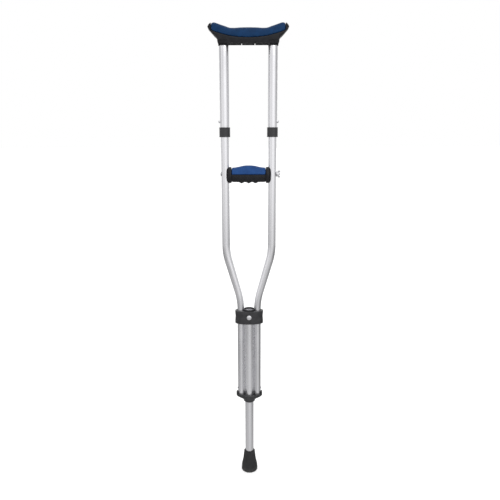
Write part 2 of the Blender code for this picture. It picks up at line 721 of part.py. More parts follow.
def leg_sleeve():
    low, high = SLEEVE_Z
    made = turned("leg_sleeve", tube_profile(SLEEVE_R, LEG_R + FIT, low, high), ALUMINIUM)
    boolean(made, lock_hole("sleeve_hole"))


def yoke_clamp():
    """The moulded block round the three tubes, waisted, with a ring round the leg sleeve."""
    low, high = CLAMP_Z
    half_x, half_y = CLAMP_HALF
    ring_r, ring_top = CLAMP_RING
    edge = CLAMP_EDGE
    waist = [(low, -edge), (low + edge, 0), (LOCK_Z - 0.010, 0), (LOCK_Z, -CLAMP_WAIST),
             (LOCK_Z + 0.010, 0), (high - edge / 2, 0), (high, -edge / 2)]
    rings = [oval(half_x + inset, half_y + inset * 0.4, z, OVAL_POWER, OVAL_SIDES)
             for z, inset in waist]
    made = part("yoke_clamp", loft("yoke_clamp", rings), BLACK)
    ring = [((0, 0, LOCK_Z), (0, 0, ring_top), ring_r, OVAL_SIDES)]
    boolean(made, cutter("clamp_ring", rods("clamp_ring", ring)), "UNION")
    bows, rivets, seats = [], [], []
    for _, sign in sides():
        x = sign * BOW_LOW_X
        bows.append(((x, 0, low - OVERRUN), (x, 0, ring_top + OVERRUN), BOW_LOW_R + FIT, BOW_SIDES))
        rivets.append(((x, 0, LOCK_Z), (x, 2 * DRILL, LOCK_Z), RIVET_HOLE_R, HOLE_SIDES))
        seats.append(((x, CLAMP_RIVET_SEAT, LOCK_Z), (x, 2 * DRILL, LOCK_Z), CLAMP_SEAT_R, HOLE_SIDES))
    sleeve = [((0, 0, low - OVERRUN), (0, 0, SLEEVE_Z[1] + GAP), SLEEVE_R + GAP, TUBE_SIDES)]
    mouth = [((0, 0, LOCK_Z), (0, 0, ring_top + OVERRUN), CLAMP_LIP_R, TUBE_SIDES)]
    cuts = {"clamp_bow_bores": bows, "clamp_sleeve_bore": sleeve, "clamp_mouth": mouth,
            "clamp_rivet_holes": rivets, "clamp_rivet_seats": seats}
    for name, pieces in cuts.items():
        boolean(made, cutter(name, rods(name, pieces)))
    boolean(made, lock_hole("clamp_lock_hole"))
    half_w, near, far, pocket_low, pocket_high = SPRING_POCKET
    pocket = box_mesh("clamp_pocket", (-half_w, -far, pocket_low), (half_w, -near, pocket_high))
    boolean(made, cutter("clamp_pocket", pocket))


def rivet(name, place, axis, length):
    """A domed rivet: its head stands on the surface at place, its shank runs back inwards."""
    head_r, head_h = RIVET_HEAD
    head = [(r, GAP + z) for r, z in dome(head_r, head_h, 3)]
    outline = [*head, (head_r, GAP), (RIVET_R, GAP), (RIVET_R, -length), (0, -length)]
    turned(name, outline, STEEL, HOLE_SIDES, place, axis, closed=False)


def yoke_rivets():
    for side, sign in sides():
        rivet("clamp_rivet_" + side, (sign * BOW_LOW_X, CLAMP_RIVET_SEAT, LOCK_Z), "Y",
              CLAMP_RIVET_LENGTH)
        rivet("cup_rivet_" + side, (sign * (BOW_LOW_X + BOW_LOW_R), 0, CUP_RIVET_Z),
              "X" if sign > 0 else "-X", CUP_RIVET_LENGTH)


def yoke_cup():
    """The moulded foot of the bows: a wide rim that funnels in to a neck round the leg."""
    low, high = CUP_Z
    rings = [oval(half_x, half_y, low + up, power, OVAL_SIDES)
             for half_x, half_y, up, power in CUP_FUNNEL]
    rings += [oval(*CUP_HALF, high - CUP_EDGE, OVAL_POWER, OVAL_SIDES),
              oval(*(half - CUP_EDGE for half in CUP_HALF), high, OVAL_POWER, OVAL_SIDES)]
    made = part("yoke_cup", loft("yoke_cup", rings), BLACK)
    dip = [(-x, z) for x, z in reversed(CUP_DIP[1:])] + CUP_DIP
    faces = [[(x, y, z) for x, z in dip] for y in (-CUP_HALF[0], CUP_HALF[0])]
    boolean(made, cutter("cup_dip", loft("cup_dip", faces)))
    pockets = [((sign * BOW_LOW_X, 0, BOW_LOW_Z - GAP), (sign * BOW_LOW_X, 0, high + OVERRUN),
                BOW_LOW_R + FIT, BOW_SIDES) for _, sign in sides()]
    boolean(made, cutter("cup_bow_pockets", rods("cup_bow_pockets", pockets)))
    sleeve = [((0, 0, SLEEVE_Z[0] - GAP), (0, 0, high + OVERRUN), SLEEVE_R + GAP, TUBE_SIDES)]
    boolean(made, cutter("cup_sleeve_pocket", rods("cup_sleeve_pocket", sleeve)))
    throat = [((0, 0, low - OVERRUN), (0, 0, high), LEG_R + FIT, TUBE_SIDES)]
    boolean(made, cutter("cup_throat", rods("cup_throat", throat)))
    plug_r = BOW_LOW_R - WALL - FIT - GAP
    for side, sign in sides():
        x = sign * BOW_LOW_X
        plug = rods("cup_plug_" + side, [((x, 0, BOW_LOW_Z - 2 * OVERRUN), (x, 0, CUP_PLUG_Z), plug_r,
                                          BOW_SIDES)])
        boolean(made, cutter("cup_plug_" + side, plug), "UNION")
        start, end = (x + sign * OVERRUN, 0, CUP_RIVET_Z), (x + sign * DRILL, 0, CUP_RIVET_Z)
        hole = rods("cup_rivet_hole_" + side, [(start, end, RIVET_HOLE_R, HOLE_SIDES)])
        boolean(made, cutter("cup_rivet_hole_" + side, hole))


def leg_lock():
    """The sprung pin that holds the leg, and the leaf that pulls it in."""
    knob_r, knob_h = LOCK_KNOB
    back = CLAMP_HALF[1] + GAP
    knob = [(r, back + knob_h - LOCK_CROWN + z) for r, z in dome(knob_r, LOCK_CROWN, 5)]
    outline = [*knob, (knob_r, back + LOCK_EDGE), (knob_r - LOCK_EDGE, back), (LOCK_R, back),
               (LOCK_R, LOCK_TIP_Y + LOCK_EDGE), (LOCK_R - LOCK_EDGE, LOCK_TIP_Y), (0, LOCK_TIP_Y)]
    turned("leg_lock_pin", outline, STEEL, 20, (0, 0, LOCK_Z), "-Y", closed=False)
    half_w, thickness, low, high = LEAF
    face = -(SLEEVE_R + GAP + thickness)
    made = part("leg_lock_spring", box_mesh("leg_lock_spring", (-half_w, face - thickness, low),
                                            (half_w, face, high)), STEEL)
    boolean(made, lock_hole("leaf_hole"))


# ---------------------------------------------------------------- leg and tip
def leg_tube():
    low, high = LEG_Z
    made = turned("leg_tube", tube_profile(LEG_R, LEG_R - LEG_WALL, low, high), ALUMINIUM)
    drill = []
    for k in range(LEG_SETTINGS):
        z = LOCK_Z - k * SETTING
        drill.append(((0, 0, z), (0, -DRILL, z), LOCK_HOLE_R, HOLE_SIDES))
    boolean(made, cutter("leg_holes", rods("leg_holes", drill)))


def rubber_tip():
    """A bell-shaped ferrule with a ringed tread, in one turned profile."""
    bore = LEG_R + FIT
    inside = [(0, TIP_FLOOR_Z), (bore, TIP_FLOOR_Z), (bore, TIP_TOP_Z)]
    tread = []
    for wide, narrow in TREAD_GROOVES:
        tread += [(wide, 0), (wide - TREAD_DRAFT, TREAD_DEPTH), (narrow + TREAD_DRAFT, TREAD_DEPTH),
                  (narrow, 0)]
    middle = [(TREAD_DIMPLE, 0), (TREAD_DIMPLE - TREAD_DRAFT, TREAD_DEPTH), (0, TREAD_DEPTH)]
    turned("rubber_tip", [*inside, *TIP_OUTLINE, *tread, *middle], RUBBER, TUBE_SIDES, closed=False)


def tip_washer():
    low = TIP_FLOOR_Z + GAP
    high = low + TIP_WASHER_T
    radius = LEG_R - FIT
    turned("tip_washer", [(0, high), (radius, high), (radius, low), (0, low)], STEEL, 24, closed=False)


# ---------------------------------------------------------------- the crutch
clear_scene()
PARTS = new_collection("underarm_crutch")
CUTTERS = new_collection("cutters")
CUTTERS.hide_render = True

for SIDE, SIGN in sides():
    bow(SIDE, SIGN)
    snap_button(SIDE, SIGN)
    snap_spring(SIDE, SIGN)
    upper_tube(SIDE, SIGN)
    collar(SIDE, SIGN)
    saddle_pin(SIDE, SIGN)
saddle_core()
saddle_base()
saddle_cushion()
grip_body()
grip_cushion()
grip_bolt()
grip_washer()
wing_nut()
leg_sleeve()
yoke_clamp()
yoke_cup()
yoke_rivets()
leg_lock()
leg_tube()
rubber_tip()
tip_washer()
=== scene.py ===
"""The looks of the underarm crutch: fine surfaces, padded foam and materials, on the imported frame.

Metres, +Z up, in the frame of the CAD model. Each piece takes its place from the box of the
CAD node that it stands for, and rides on that node's body.
"""
import json
import math

import bmesh
import bpy
from mathutils import Matrix, Vector


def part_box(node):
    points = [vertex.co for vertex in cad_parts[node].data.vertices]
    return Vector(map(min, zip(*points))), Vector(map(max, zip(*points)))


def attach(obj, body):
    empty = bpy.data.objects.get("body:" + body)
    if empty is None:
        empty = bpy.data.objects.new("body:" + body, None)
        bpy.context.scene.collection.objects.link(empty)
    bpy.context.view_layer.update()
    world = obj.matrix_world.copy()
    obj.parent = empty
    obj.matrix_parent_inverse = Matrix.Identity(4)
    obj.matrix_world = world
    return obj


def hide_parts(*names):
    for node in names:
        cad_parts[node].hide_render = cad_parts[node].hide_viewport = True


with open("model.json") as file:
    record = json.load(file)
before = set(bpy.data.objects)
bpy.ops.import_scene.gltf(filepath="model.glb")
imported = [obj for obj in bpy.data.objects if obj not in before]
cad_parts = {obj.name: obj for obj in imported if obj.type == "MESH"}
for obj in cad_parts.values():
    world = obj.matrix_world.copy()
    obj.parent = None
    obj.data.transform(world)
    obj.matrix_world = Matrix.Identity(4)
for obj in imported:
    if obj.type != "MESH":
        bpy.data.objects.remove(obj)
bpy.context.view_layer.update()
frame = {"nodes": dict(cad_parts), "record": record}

RECORD = frame["record"]
BODY_OF = {node: body for body, nodes in RECORD["behaviour"]["bodies"].items() for node in nodes}
SIDES = (("left", -1), ("right", 1))


# ------------------------ places, from the CAD nodes
def centre(node):
    low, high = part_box(node)
    return (low + high) / 2


def size(node):
    low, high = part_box(node)
    return high - low


def heights(node):
    low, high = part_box(node)
    return low.z, high.z


UPRIGHT_X = centre("upper_tube_right").x
UPPER_R = size("upper_tube_right").x / 2
UPPER_Z = heights("upper_tube_right")
BOW_LOW_X = centre("clamp_rivet_right").x
BOW_Z = heights("bow_right")
BOW_R = UPPER_R - 0.0015     # the upper tube's wall and sliding fit
SLEEVE_R = size("leg_sleeve").x / 2
SLEEVE_Z = heights("leg_sleeve")
LEG_R = size("leg_tube").x / 2
LEG_Z = heights("leg_tube")
SNAP_Z = centre("snap_button_right").z
LOCK_Z = centre("leg_lock_pin").z
GRIP_Z = centre("grip_bolt").z
CUP_RIVET_Z = centre("cup_rivet_right").z

# Sizes kept from the CAD model
WALL = 0.0011
BOW_LOW_R = 0.0095
BEND_UPPER_Z = 0.684
BEND_LOWER_Z = 0.544
BEND_UPPER_RADIUS = 0.18
BEND_LOWER_RADIUS = 0.20
LEG_WALL = 0.0015
FIT = 0.0004
GAP = 0.0003
SETTING = 0.0254
SETTINGS = 7
GRIP_PITCH = 0.042
GRIP_HOLES = range(-2, 3)
GRIP_HOLE_R = 0.0038
SNAP_R = 0.0039
SNAP_HOLE_R = 0.0044
SNAP_HOLES = [SNAP_Z + k * SETTING for k in range(SETTINGS)]
LOCK_HOLE_R = 0.0033
LOCK_HOLES = [LOCK_Z - k * SETTING for k in range(SETTINGS)]
RIVET_HOLE_R = 0.0020

# Smoothness
ROUND = 96                   # sides of a tube
HOLE_ROUND = 32
FLARE = 0.00035              # chamfer round a hole
EDGE = 0.0003                # rounding of a cut tube end
RING_STEP = 0.0055           # tube rings above and below a hole, which keep its shading local
OVAL_ROUND = 128
SHARP = 32                   # degrees between faces that shade as an edge
OVER = 0.002                 # how far a cutter runs past a surface


# ------------------------ mesh helpers
def settle(name, bm, material):
    """A smooth-shaded object from a bmesh, its faces turned outwards."""
    bmesh.ops.recalc_face_normals(bm, faces=bm.faces)
    mesh = bpy.data.meshes.new(name)
    bm.to_mesh(mesh)
    bm.free()
    made = bpy.data.objects.new(name, mesh)
    bpy.context.scene.collection.objects.link(made)
    mesh.materials.append(material)
    shade(made)
    return made


def shade(made, angle=SHARP):
    made.data.shade_smooth()
    made.data.set_sharp_from_angle(angle=math.radians(angle))


def applied(made):
    """Makes an object's modifiers part of its mesh."""
    evaluated = made.evaluated_get(bpy.context.evaluated_depsgraph_get())
    fresh = bpy.data.meshes.new_from_object(evaluated)
    stale = made.data
    made.modifiers.clear()
    made.data = fresh
    bpy.data.meshes.remove(stale)


def modify(made, kind, **settings):
    """Adds a modifier to an object."""
    modifier = made.modifiers.new(kind.lower(), kind)
    for key, value in settings.items():
        setattr(modifier, key, value)
    return modifier


def combine(made, tool, operation="DIFFERENCE"):
    """Cuts a bmesh tool out of an object, or joins it on."""
    other = settle("tool", tool, made.data.materials[0])
    modify(made, "BOOLEAN", operation=operation, solver="EXACT", object=other)
    bpy.context.view_layer.update()
    applied(made)
    bpy.data.objects.remove(other, do_unlink=True)
    shade(made)


def soften(made, width):
    """Rounds an object's sharp edges."""
    modify(made, "BEVEL", width=width, segments=3, limit_method="ANGLE", angle_limit=math.radians(50))
    applied(made)
    shade(made)


def stand_for(made, *nodes):
    """The piece replaces CAD nodes of one body and rides on that body."""
    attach(made, BODY_OF[nodes[0]])
    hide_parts(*nodes)


def moved(bm, place=(0, 0, 0), axis=(0, 0, 1)):
    """Turns a bmesh's +Z to an axis and carries it to a place."""
    turn = Vector((0, 0, 1)).rotation_difference(Vector(axis)).to_matrix().to_4x4()
    bm.transform(Matrix.Translation(Vector(place)) @ turn)
    return bm


def merged(*parts):
    """One bmesh of several that don't touch."""
    whole = bmesh.new()
    for bm in parts:
        mesh = bpy.data.meshes.new("merged")
        bm.to_mesh(mesh)
        bm.free()
        whole.from_mesh(mesh)
        bpy.data.meshes.remove(mesh)
    return whole


def filleted(corners, closed=False, steps=5):
    """Points along (a, b) corners; one given as (a, b, radius) is rounded by that radius."""
    points = []
    count = len(corners)
    for i, corner in enumerate(corners):
        here = Vector(corner[:2])
        if len(corner) < 3 or (not closed and i in (0, count - 1)):
            points.append(tuple(here))
            continue
        radius = corner[2]
        before = (Vector(corners[i - 1][:2]) - here).normalized()
        after = (Vector(corners[(i + 1) % count][:2]) - here).normalized()
        half = before.angle(after) / 2
        reach = radius / math.tan(half)
        middle = here + (before + after).normalized() * radius / math.sin(half)
        start = here + before * reach - middle
        end = here + after * reach - middle
        first = math.atan2(start.y, start.x)
        turn = (math.atan2(end.y, end.x) - first + math.pi) % math.tau - math.pi
        for k in range(steps + 1):
            angle = first + turn * k / steps
            points.append((middle.x + radius * math.cos(angle), middle.y + radius * math.sin(angle)))
    return points


def skin(rings, closed=False):
    """A skin over rings of points; a ring of one point is a pole."""
    bm = bmesh.new()
    made = [[bm.verts.new(point) for point in ring] for ring in rings]
    pairs = list(zip(made, made[1:]))
    if closed:
        pairs.append((made[-1], made[0]))
    count = max(len(ring) for ring in made)
    for a, b in pairs:
        for i in range(count):
            j = (i + 1) % count
            quad = (a[i % len(a)], a[j % len(a)], b[j % len(b)], b[i % len(b)])
            corners = list(dict.fromkeys(quad))
            bm.faces.new(corners)
    if not closed:
        for ring in (made[0], made[-1]):
            if len(ring) > 1:
                bm.faces.new(ring)
    return bm


def lathe(profile, sides=ROUND, closed=False):
    """A turned solid from (radius, height) points; a point at radius 0 is a pole."""
    rings = []
    for radius, height in profile:
        if radius < 1e-6:
            rings.append([(0, 0, height)])
            continue
        rings.append([(radius * math.cos(math.tau * k / sides), radius * math.sin(math.tau * k / sides),
                       height) for k in range(sides)])
    return skin(rings, closed)


def rod(radius, low, high, sides=ROUND):
    """A plain cylinder along +Z."""
    return lathe([(0, low), (radius, low), (radius, high), (0, high)], sides)


def both_sides(made, profile, x, operation="DIFFERENCE"):
    """Cuts a turned profile out of an object at -x and at x, or joins it on."""
    for _, sign in SIDES:
        combine(made, moved(lathe(profile), (sign * x, 0, 0)), operation)


def drill(start, axis, radius, surface, length=0.02):
    """A drill from start along an axis, flared where it leaves the surface."""
    profile = [(0, 0), (radius, 0), (radius, surface - FLARE), (radius + FLARE, surface),
               (radius + FLARE, length), (0, length)]
    return moved(lathe(profile, HOLE_ROUND), start, axis)


def dome(radius, height):
    """(radius, height) points of a shallow dome, from its middle to its rim."""
    steps = 8
    ball = (radius ** 2 + height ** 2) / (2 * height)
    widths = [radius * math.sin(math.pi / 2 * k / steps) for k in range(steps + 1)]
    return [(r, math.sqrt(ball ** 2 - r ** 2) - (ball - height)) for r in widths]


def curve_through(stations):
    """A smooth even function of x through (x, value) stations, which never overshoots them."""
    xs = [x for x, _ in stations]
    values = [v for _, v in stations]
    climbs = [(v1 - v0) / (x1 - x0) for x0, x1, v0, v1 in zip(xs, xs[1:], values, values[1:])]
    slopes = [0.0]
    for before, after in zip(climbs, climbs[1:]):
        level = before * after <= 0
        slopes.append(0.0 if level else 2 * before * after / (before + after))
    slopes.append(climbs[-1])

    def value(x):
        x = min(abs(x), xs[-1])
        i = max(k for k in range(len(climbs)) if xs[k] <= x)
        width = xs[i + 1] - xs[i]
        t = (x - xs[i]) / width
        return (values[i] * (1 + 2 * t) * (1 - t) ** 2 + values[i + 1] * t * t * (3 - 2 * t)
                + width * (slopes[i] * t * (1 - t) ** 2 - slopes[i + 1] * t * t * (1 - t)))

    return value


def spread(low, high, step, extra=()):
    """Evenly spaced values from low to high, with some extra ones, in order."""
    count = max(1, round((high - low) / step))
    even = [low + (high - low) * k / count for k in range(count + 1)]
    return sorted({round(x, 6) for x in [*even, *extra] if low <= x <= high})


def oval(half_x, half_y, height, power):
    """A super-ellipse of points at one height; power 2 is a plain ellipse."""
    points = []
    for k in range(OVAL_ROUND):
        angle = math.tau * (k + 0.5) / OVAL_ROUND
        c, s = math.cos(angle), math.sin(angle)
        x = math.copysign(abs(c) ** (2 / power), c) * half_x
        y = math.copysign(abs(s) ** (2 / power), s) * half_y
        points.append((x, y, height))
    return points


# ------------------------ material helpers
def new_shader(name, colour, roughness, metallic=0.0, **sockets):
    """A Principled material; returns it with its node tree and its shader."""
    made = bpy.data.materials.new(name)
    made.use_nodes = True
    tree = made.node_tree
    principled = tree.nodes["Principled BSDF"]
    principled.inputs["Base Color"].default_value = (*colour, 1)
    principled.inputs["Roughness"].default_value = roughness
    principled.inputs["Metallic"].default_value = metallic
    for socket, value in sockets.items():
        principled.inputs[socket.replace("_", " ")].default_value = value
    made.diffuse_color = (*colour, 1)
    return made, tree, principled


def node(tree, kind, settings=None, **inputs):
    """A new node with some of its settings and inputs set; an input may be another's output."""
    made = tree.nodes.new(kind)
    for key, value in (settings or {}).items():
        setattr(made, key, value)
    for key, value in inputs.items():
        socket = made.inputs[int(key[1:])] if key[0] == "i" and key[1:].isdigit() else made.inputs[key]
        if isinstance(value, bpy.types.NodeSocket):
            tree.links.new(value, socket)
        else:
            socket.default_value = value
    return made


def place_in(tree, stretch=(1, 1, 1)):
    """The point on the piece, in metres, stretched along its axes."""
    where = node(tree, "ShaderNodeTexCoord").outputs["Object"]
    return node(tree, "ShaderNodeMapping", Vector=where, Scale=stretch).outputs["Vector"]


def noise(tree, scale, stretch=(1, 1, 1), detail=4.0, rough=0.55):
    return node(tree, "ShaderNodeTexNoise", Vector=place_in(tree, stretch), Scale=scale, Detail=detail,
                Roughness=rough).outputs["Fac"]


def cells(tree, scale):
    return node(tree, "ShaderNodeTexVoronoi", Vector=place_in(tree), Scale=scale).outputs["Distance"]


def remap(tree, value, low, high, to_low=0.0, to_high=1.0):
    made = node(tree, "ShaderNodeMapRange", Value=value)
    for socket, number in (("From Min", low), ("From Max", high), ("To Min", to_low), ("To Max", to_high)):
        made.inputs[socket].default_value = number
    return made.outputs["Result"]


def mix_colour(tree, factor, first, second, blend="MIX"):
    """A mix of two colours, each a value or a socket."""
    made = tree.nodes.new("ShaderNodeMix")
    made.data_type = "RGBA"
    made.blend_type = blend
    for socket, value in ((made.inputs[0], factor), (made.inputs[6], first), (made.inputs[7], second)):
        if isinstance(value, bpy.types.NodeSocket):
            tree.links.new(value, socket)
        elif isinstance(value, tuple):
            socket.default_value = (*value, 1)
        else:
            socket.default_value = value
    return made.outputs[2]


def bump(tree, principled, *layers):
    """Stacks (height, strength, depth in metres) layers of relief on a shader."""
    normal = None
    for height, strength, depth in layers:
        made = node(tree, "ShaderNodeBump", Height=height, Strength=strength, Distance=depth)
        if normal:
            tree.links.new(normal, made.inputs["Normal"])
        normal = made.outputs["Normal"]
    tree.links.new(normal, principled.inputs["Normal"])


def wire(tree, principled, **outputs):
    for socket, value in outputs.items():
        tree.links.new(value, principled.inputs[socket.replace("_", " ")])


# ------------------------ materials
def drawn_aluminium():
    """Satin anodised tube: fine draw lines along it, cloudy sheen and a few rubbed streaks."""
    made, tree, shader = new_shader("satin_aluminium", (0.80, 0.795, 0.83), 0.27, 1.0)
    lines = noise(tree, 1900, (1, 1, 0.012), 3.0)
    cloud = noise(tree, 38, (1, 1, 0.35), 3.0)
    rubs = noise(tree, 260, (1, 1, 0.05), 5.0, 0.7)
    tint = mix_colour(tree, remap(tree, cloud, 0.3, 0.7), (0.785, 0.782, 0.808), (0.825, 0.822, 0.845))
    worn = mix_colour(tree, remap(tree, rubs, 0.68, 0.76, 0, 0.22), tint, (0.70, 0.70, 0.73))
    satin = node(tree, "ShaderNodeMath", {"operation": "ADD"}, i0=remap(tree, cloud, 0.3, 0.7, 0.22, 0.30),
                 i1=remap(tree, rubs, 0.62, 0.76, 0.0, 0.10))
    wire(tree, shader, Base_Color=worn, Roughness=satin.outputs[0])
    bump(tree, shader, (lines, 0.16, 0.00004), (noise(tree, 24, (1, 1, 0.3), 1.0), 0.05, 0.0006))
    return made


def bright_zinc(name, colour, dull, roughness):
    """Plated, cast or rolled metal: cloudy, with faint scratches."""
    made, tree, shader = new_shader(name, colour, roughness, 1.0)
    cloud = noise(tree, 420, detail=4.0)
    scratches = noise(tree, 1500, (1, 0.06, 1), 3.0, 0.7)
    wire(tree, shader, Base_Color=mix_colour(tree, remap(tree, cloud, 0.3, 0.72), colour, dull),
         Roughness=remap(tree, cloud, 0.3, 0.7, roughness - 0.07, roughness + 0.10))
    bump(tree, shader, (scratches, 0.18, 0.00003), (noise(tree, 900), 0.12, 0.00005))
    return made


def moulded_black(name, colour, lighter, roughness, specular, grain, depth):
    """Moulded plastic or soft rubber: pebbled skin, paler where it is rubbed, a little dust."""
    made, tree, shader = new_shader(name, colour, roughness, Specular_IOR_Level=specular)
    pebbles = cells(tree, grain)
    wear = noise(tree, 75, detail=6.0, rough=0.62)
    specks = noise(tree, 1400, detail=2.0)
    tone = mix_colour(tree, remap(tree, wear, 0.42, 0.72), colour, lighter)
    dusty = mix_colour(tree, remap(tree, specks, 0.66, 0.78, 0, 0.25), tone, (0.10, 0.10, 0.10))
    wire(tree, shader, Base_Color=dusty,
         Roughness=remap(tree, wear, 0.3, 0.75, roughness - 0.08, roughness + 0.10))
    bump(tree, shader, (pebbles, 0.32, depth), (noise(tree, grain * 2.3, detail=3.0), 0.20, depth * 0.6),
         (noise(tree, 110, detail=2.0), 0.10, 0.0004))
    return made


def tip_rubber():
    """Matte rubber of the foot: fine grain, scuffed and dusty towards the floor."""
    dust_height = 0.016
    made, tree, shader = new_shader("tip_rubber", (0.016, 0.016, 0.017), 0.66, Specular_IOR_Level=0.28)
    where = node(tree, "ShaderNodeTexCoord").outputs["Object"]
    height = node(tree, "ShaderNodeSeparateXYZ", Vector=where).outputs["Z"]
    low = remap(tree, height, dust_height, 0.0)
    ragged = node(tree, "ShaderNodeMath", {"operation": "MULTIPLY"}, i0=low,
                  i1=remap(tree, noise(tree, 190, detail=6.0, rough=0.65), 0.38, 0.66)).outputs[0]
    wear = noise(tree, 90, detail=5.0, rough=0.6)
    tone = mix_colour(tree, remap(tree, wear, 0.35, 0.75), (0.013, 0.013, 0.014), (0.024, 0.024, 0.025))
    dusty = mix_colour(tree, remap(tree, ragged, 0.0, 1.0, 0.0, 0.5), tone, (0.12, 0.116, 0.108))
    wire(tree, shader, Base_Color=dusty, Roughness=remap(tree, wear, 0.3, 0.75, 0.58, 0.78))
    bump(tree, shader, (noise(tree, 1500, detail=3.0), 0.30, 0.00012), (noise(tree, 170), 0.12, 0.0004))
    return made


def blue_foam(name, colour, deep, bright, specular):
    """Skinned foam: a smooth blue skin with fine open pores, mottling and a soft sheen."""
    made, tree, shader = new_shader(name, colour, 0.54, Specular_IOR_Level=specular, Sheen_Weight=0.02,
                                    Sheen_Roughness=0.45, Sheen_Tint=(0.45, 0.62, 0.95, 1.0))
    pores = cells(tree, 1500)
    mottle = noise(tree, 60, detail=5.0, rough=0.6)
    fine = noise(tree, 900, detail=4.0)
    base = mix_colour(tree, remap(tree, mottle, 0.3, 0.72), deep, bright)
    skin_tone = mix_colour(tree, remap(tree, fine, 0.55, 0.75, 0, 0.30), base, deep)
    wire(tree, shader, Base_Color=skin_tone, Roughness=remap(tree, fine, 0.3, 0.7, 0.48, 0.64))
    bump(tree, shader, (pores, 0.28, 0.00010), (fine, 0.20, 0.00008), (noise(tree, 140), 0.16, 0.0005))
    return made


ALUMINIUM = drawn_aluminium()
ZINC = bright_zinc("bright_zinc", (0.74, 0.74, 0.76), (0.65, 0.65, 0.67), 0.26)
CAST_ZINC = bright_zinc("cast_zinc", (0.88, 0.88, 0.89), (0.80, 0.80, 0.82), 0.60)
SPRING = bright_zinc("spring_steel", (0.45, 0.45, 0.47), (0.34, 0.34, 0.36), 0.34)
BLACK_PLASTIC = moulded_black("black_plastic", (0.013, 0.013, 0.015), (0.022, 0.022, 0.025), 0.33, 0.54, 1300,
                              0.00009)
SOFT_BLACK = moulded_black("soft_black", (0.008, 0.008, 0.010), (0.014, 0.014, 0.017), 0.50, 0.22, 1000,
                           0.00014)
TIP_RUBBER = tip_rubber()
# The two pads are one blue foam. The saddle's copy is darkened as painted shade, for the little light its
# front face gets. The grip's copy is brightened as painted light, for its upward-facing top.
SADDLE_FOAM_PAINTED_SHADE = blue_foam("saddle_foam_painted_shade", (0.002, 0.024, 0.076), (0.0012, 0.018, 0.058), (0.003, 0.030, 0.094),
                        0.12)
GRIP_FOAM_PAINTED_LIGHT = blue_foam("grip_foam_painted_light", (0.009, 0.050, 0.176), (0.007, 0.040, 0.146), (0.012, 0.060, 0.206), 0.16)

# CAD nodes that stay as they are, hidden inside the crutch
CARRIED_OVER = {"saddle_core": BLACK_PLASTIC, "saddle_pin_left": ZINC, "saddle_pin_right": ZINC,
                "snap_spring_left": SPRING, "snap_spring_right": SPRING, "leg_lock_spring": SPRING,
                "tip_washer": ZINC}


def carry_over():
    for name, material in CARRIED_OVER.items():
        for slot in frame["nodes"][name].material_slots:
            slot.material = material


# ------------------------ tubes
def tube(name, outer, inner, ends, holes, hole_r, way, x=0):
    """A straight tube with rounded ends, holes in one side and rings round each hole."""
    low, high = ends
    levels = sorted(z + step for z in holes for step in (-RING_STEP, RING_STEP)
                    if low + RING_STEP < z + step < high - RING_STEP)
    profile = filleted([(outer, high, EDGE), *((outer, z) for z in reversed(levels)), (outer, low, EDGE),
                        (inner, low, EDGE), *((inner, z) for z in levels), (inner, high, EDGE)],
                       closed=True, steps=3)
    made = settle(name + "_fine", moved(lathe(profile, closed=True), (x, 0, 0)), ALUMINIUM)
    combine(made, merged(*[drill((x, 0, z), way, hole_r, outer) for z in holes]))
    stand_for(made, name)


def bow_line():
    """Centre line of the right bow from its top down, with tangents, as (place, tangent) pairs."""
    top, *bends, foot = filleted([(UPRIGHT_X, BOW_Z[1]), (UPRIGHT_X, BEND_UPPER_Z, BEND_UPPER_RADIUS),
                                  (BOW_LOW_X, BEND_LOWER_Z, BEND_LOWER_RADIUS), (BOW_LOW_X, BOW_Z[0])],
                                 steps=20)
    marks = [GRIP_Z + k * GRIP_PITCH for k in GRIP_HOLES] + [SNAP_Z]
    levels = sorted((z + step for z in marks for step in (-RING_STEP, RING_STEP)), reverse=True)
    rivets = [(BOW_LOW_X, z + step) for z in (LOCK_Z, CUP_RIVET_Z) for step in (RING_STEP, -RING_STEP)]
    places = [top, *((UPRIGHT_X, z) for z in levels), *bends, *rivets, foot]
    line = [Vector((x, 0, z)) for x, z in places]
    ahead = line[1:] + [line[-1] * 2 - line[-2]]
    behind = [line[0] * 2 - line[1]] + line[:-1]
    return [(here, (b - a).normalized()) for here, a, b in zip(line, behind, ahead)]


def bow_radius(z):
    drawn = min(1.0, max(0.0, (BEND_UPPER_Z - z) / (BEND_UPPER_Z - BEND_LOWER_Z)))
    eased = drawn * drawn * (3 - 2 * drawn)
    return BOW_R + (BOW_LOW_R - BOW_R) * eased


def bow(side, sign):
    name, count = "bow_" + side, 72
    line = bow_line()

    def ring(here, tangent, radius):
        across = Vector((-tangent.z, 0, tangent.x))
        points = []
        for k in range(count):
            angle = math.tau * k / count
            point = here + (across * math.cos(angle) + Vector((0, 1, 0)) * math.sin(angle)) * radius
            points.append((sign * point.x, point.y, point.z))
        return points

    outside = [ring(here, tangent, bow_radius(here.z)) for here, tangent in line]
    inside = [ring(here, tangent, bow_radius(here.z) - WALL) for here, tangent in reversed(line)]
    made = settle(name + "_fine", skin(outside + inside, closed=True), ALUMINIUM)
    for k in GRIP_HOLES:
        for way in (-1, 1):
            start = (sign * UPRIGHT_X, 0, GRIP_Z + k * GRIP_PITCH)
            combine(made, drill(start, (way, 0, 0), GRIP_HOLE_R, BOW_R))
    combine(made, merged(
        drill((sign * UPRIGHT_X, 0, SNAP_Z), (sign, 0, 0), SNAP_HOLE_R, BOW_R),
        drill((sign * BOW_LOW_X, 0, LOCK_Z), (0, 1, 0), RIVET_HOLE_R, BOW_LOW_R),
        drill((sign * BOW_LOW_X, 0, CUP_RIVET_Z), (sign, 0, 0), RIVET_HOLE_R, BOW_LOW_R)))
    stand_for(made, name)


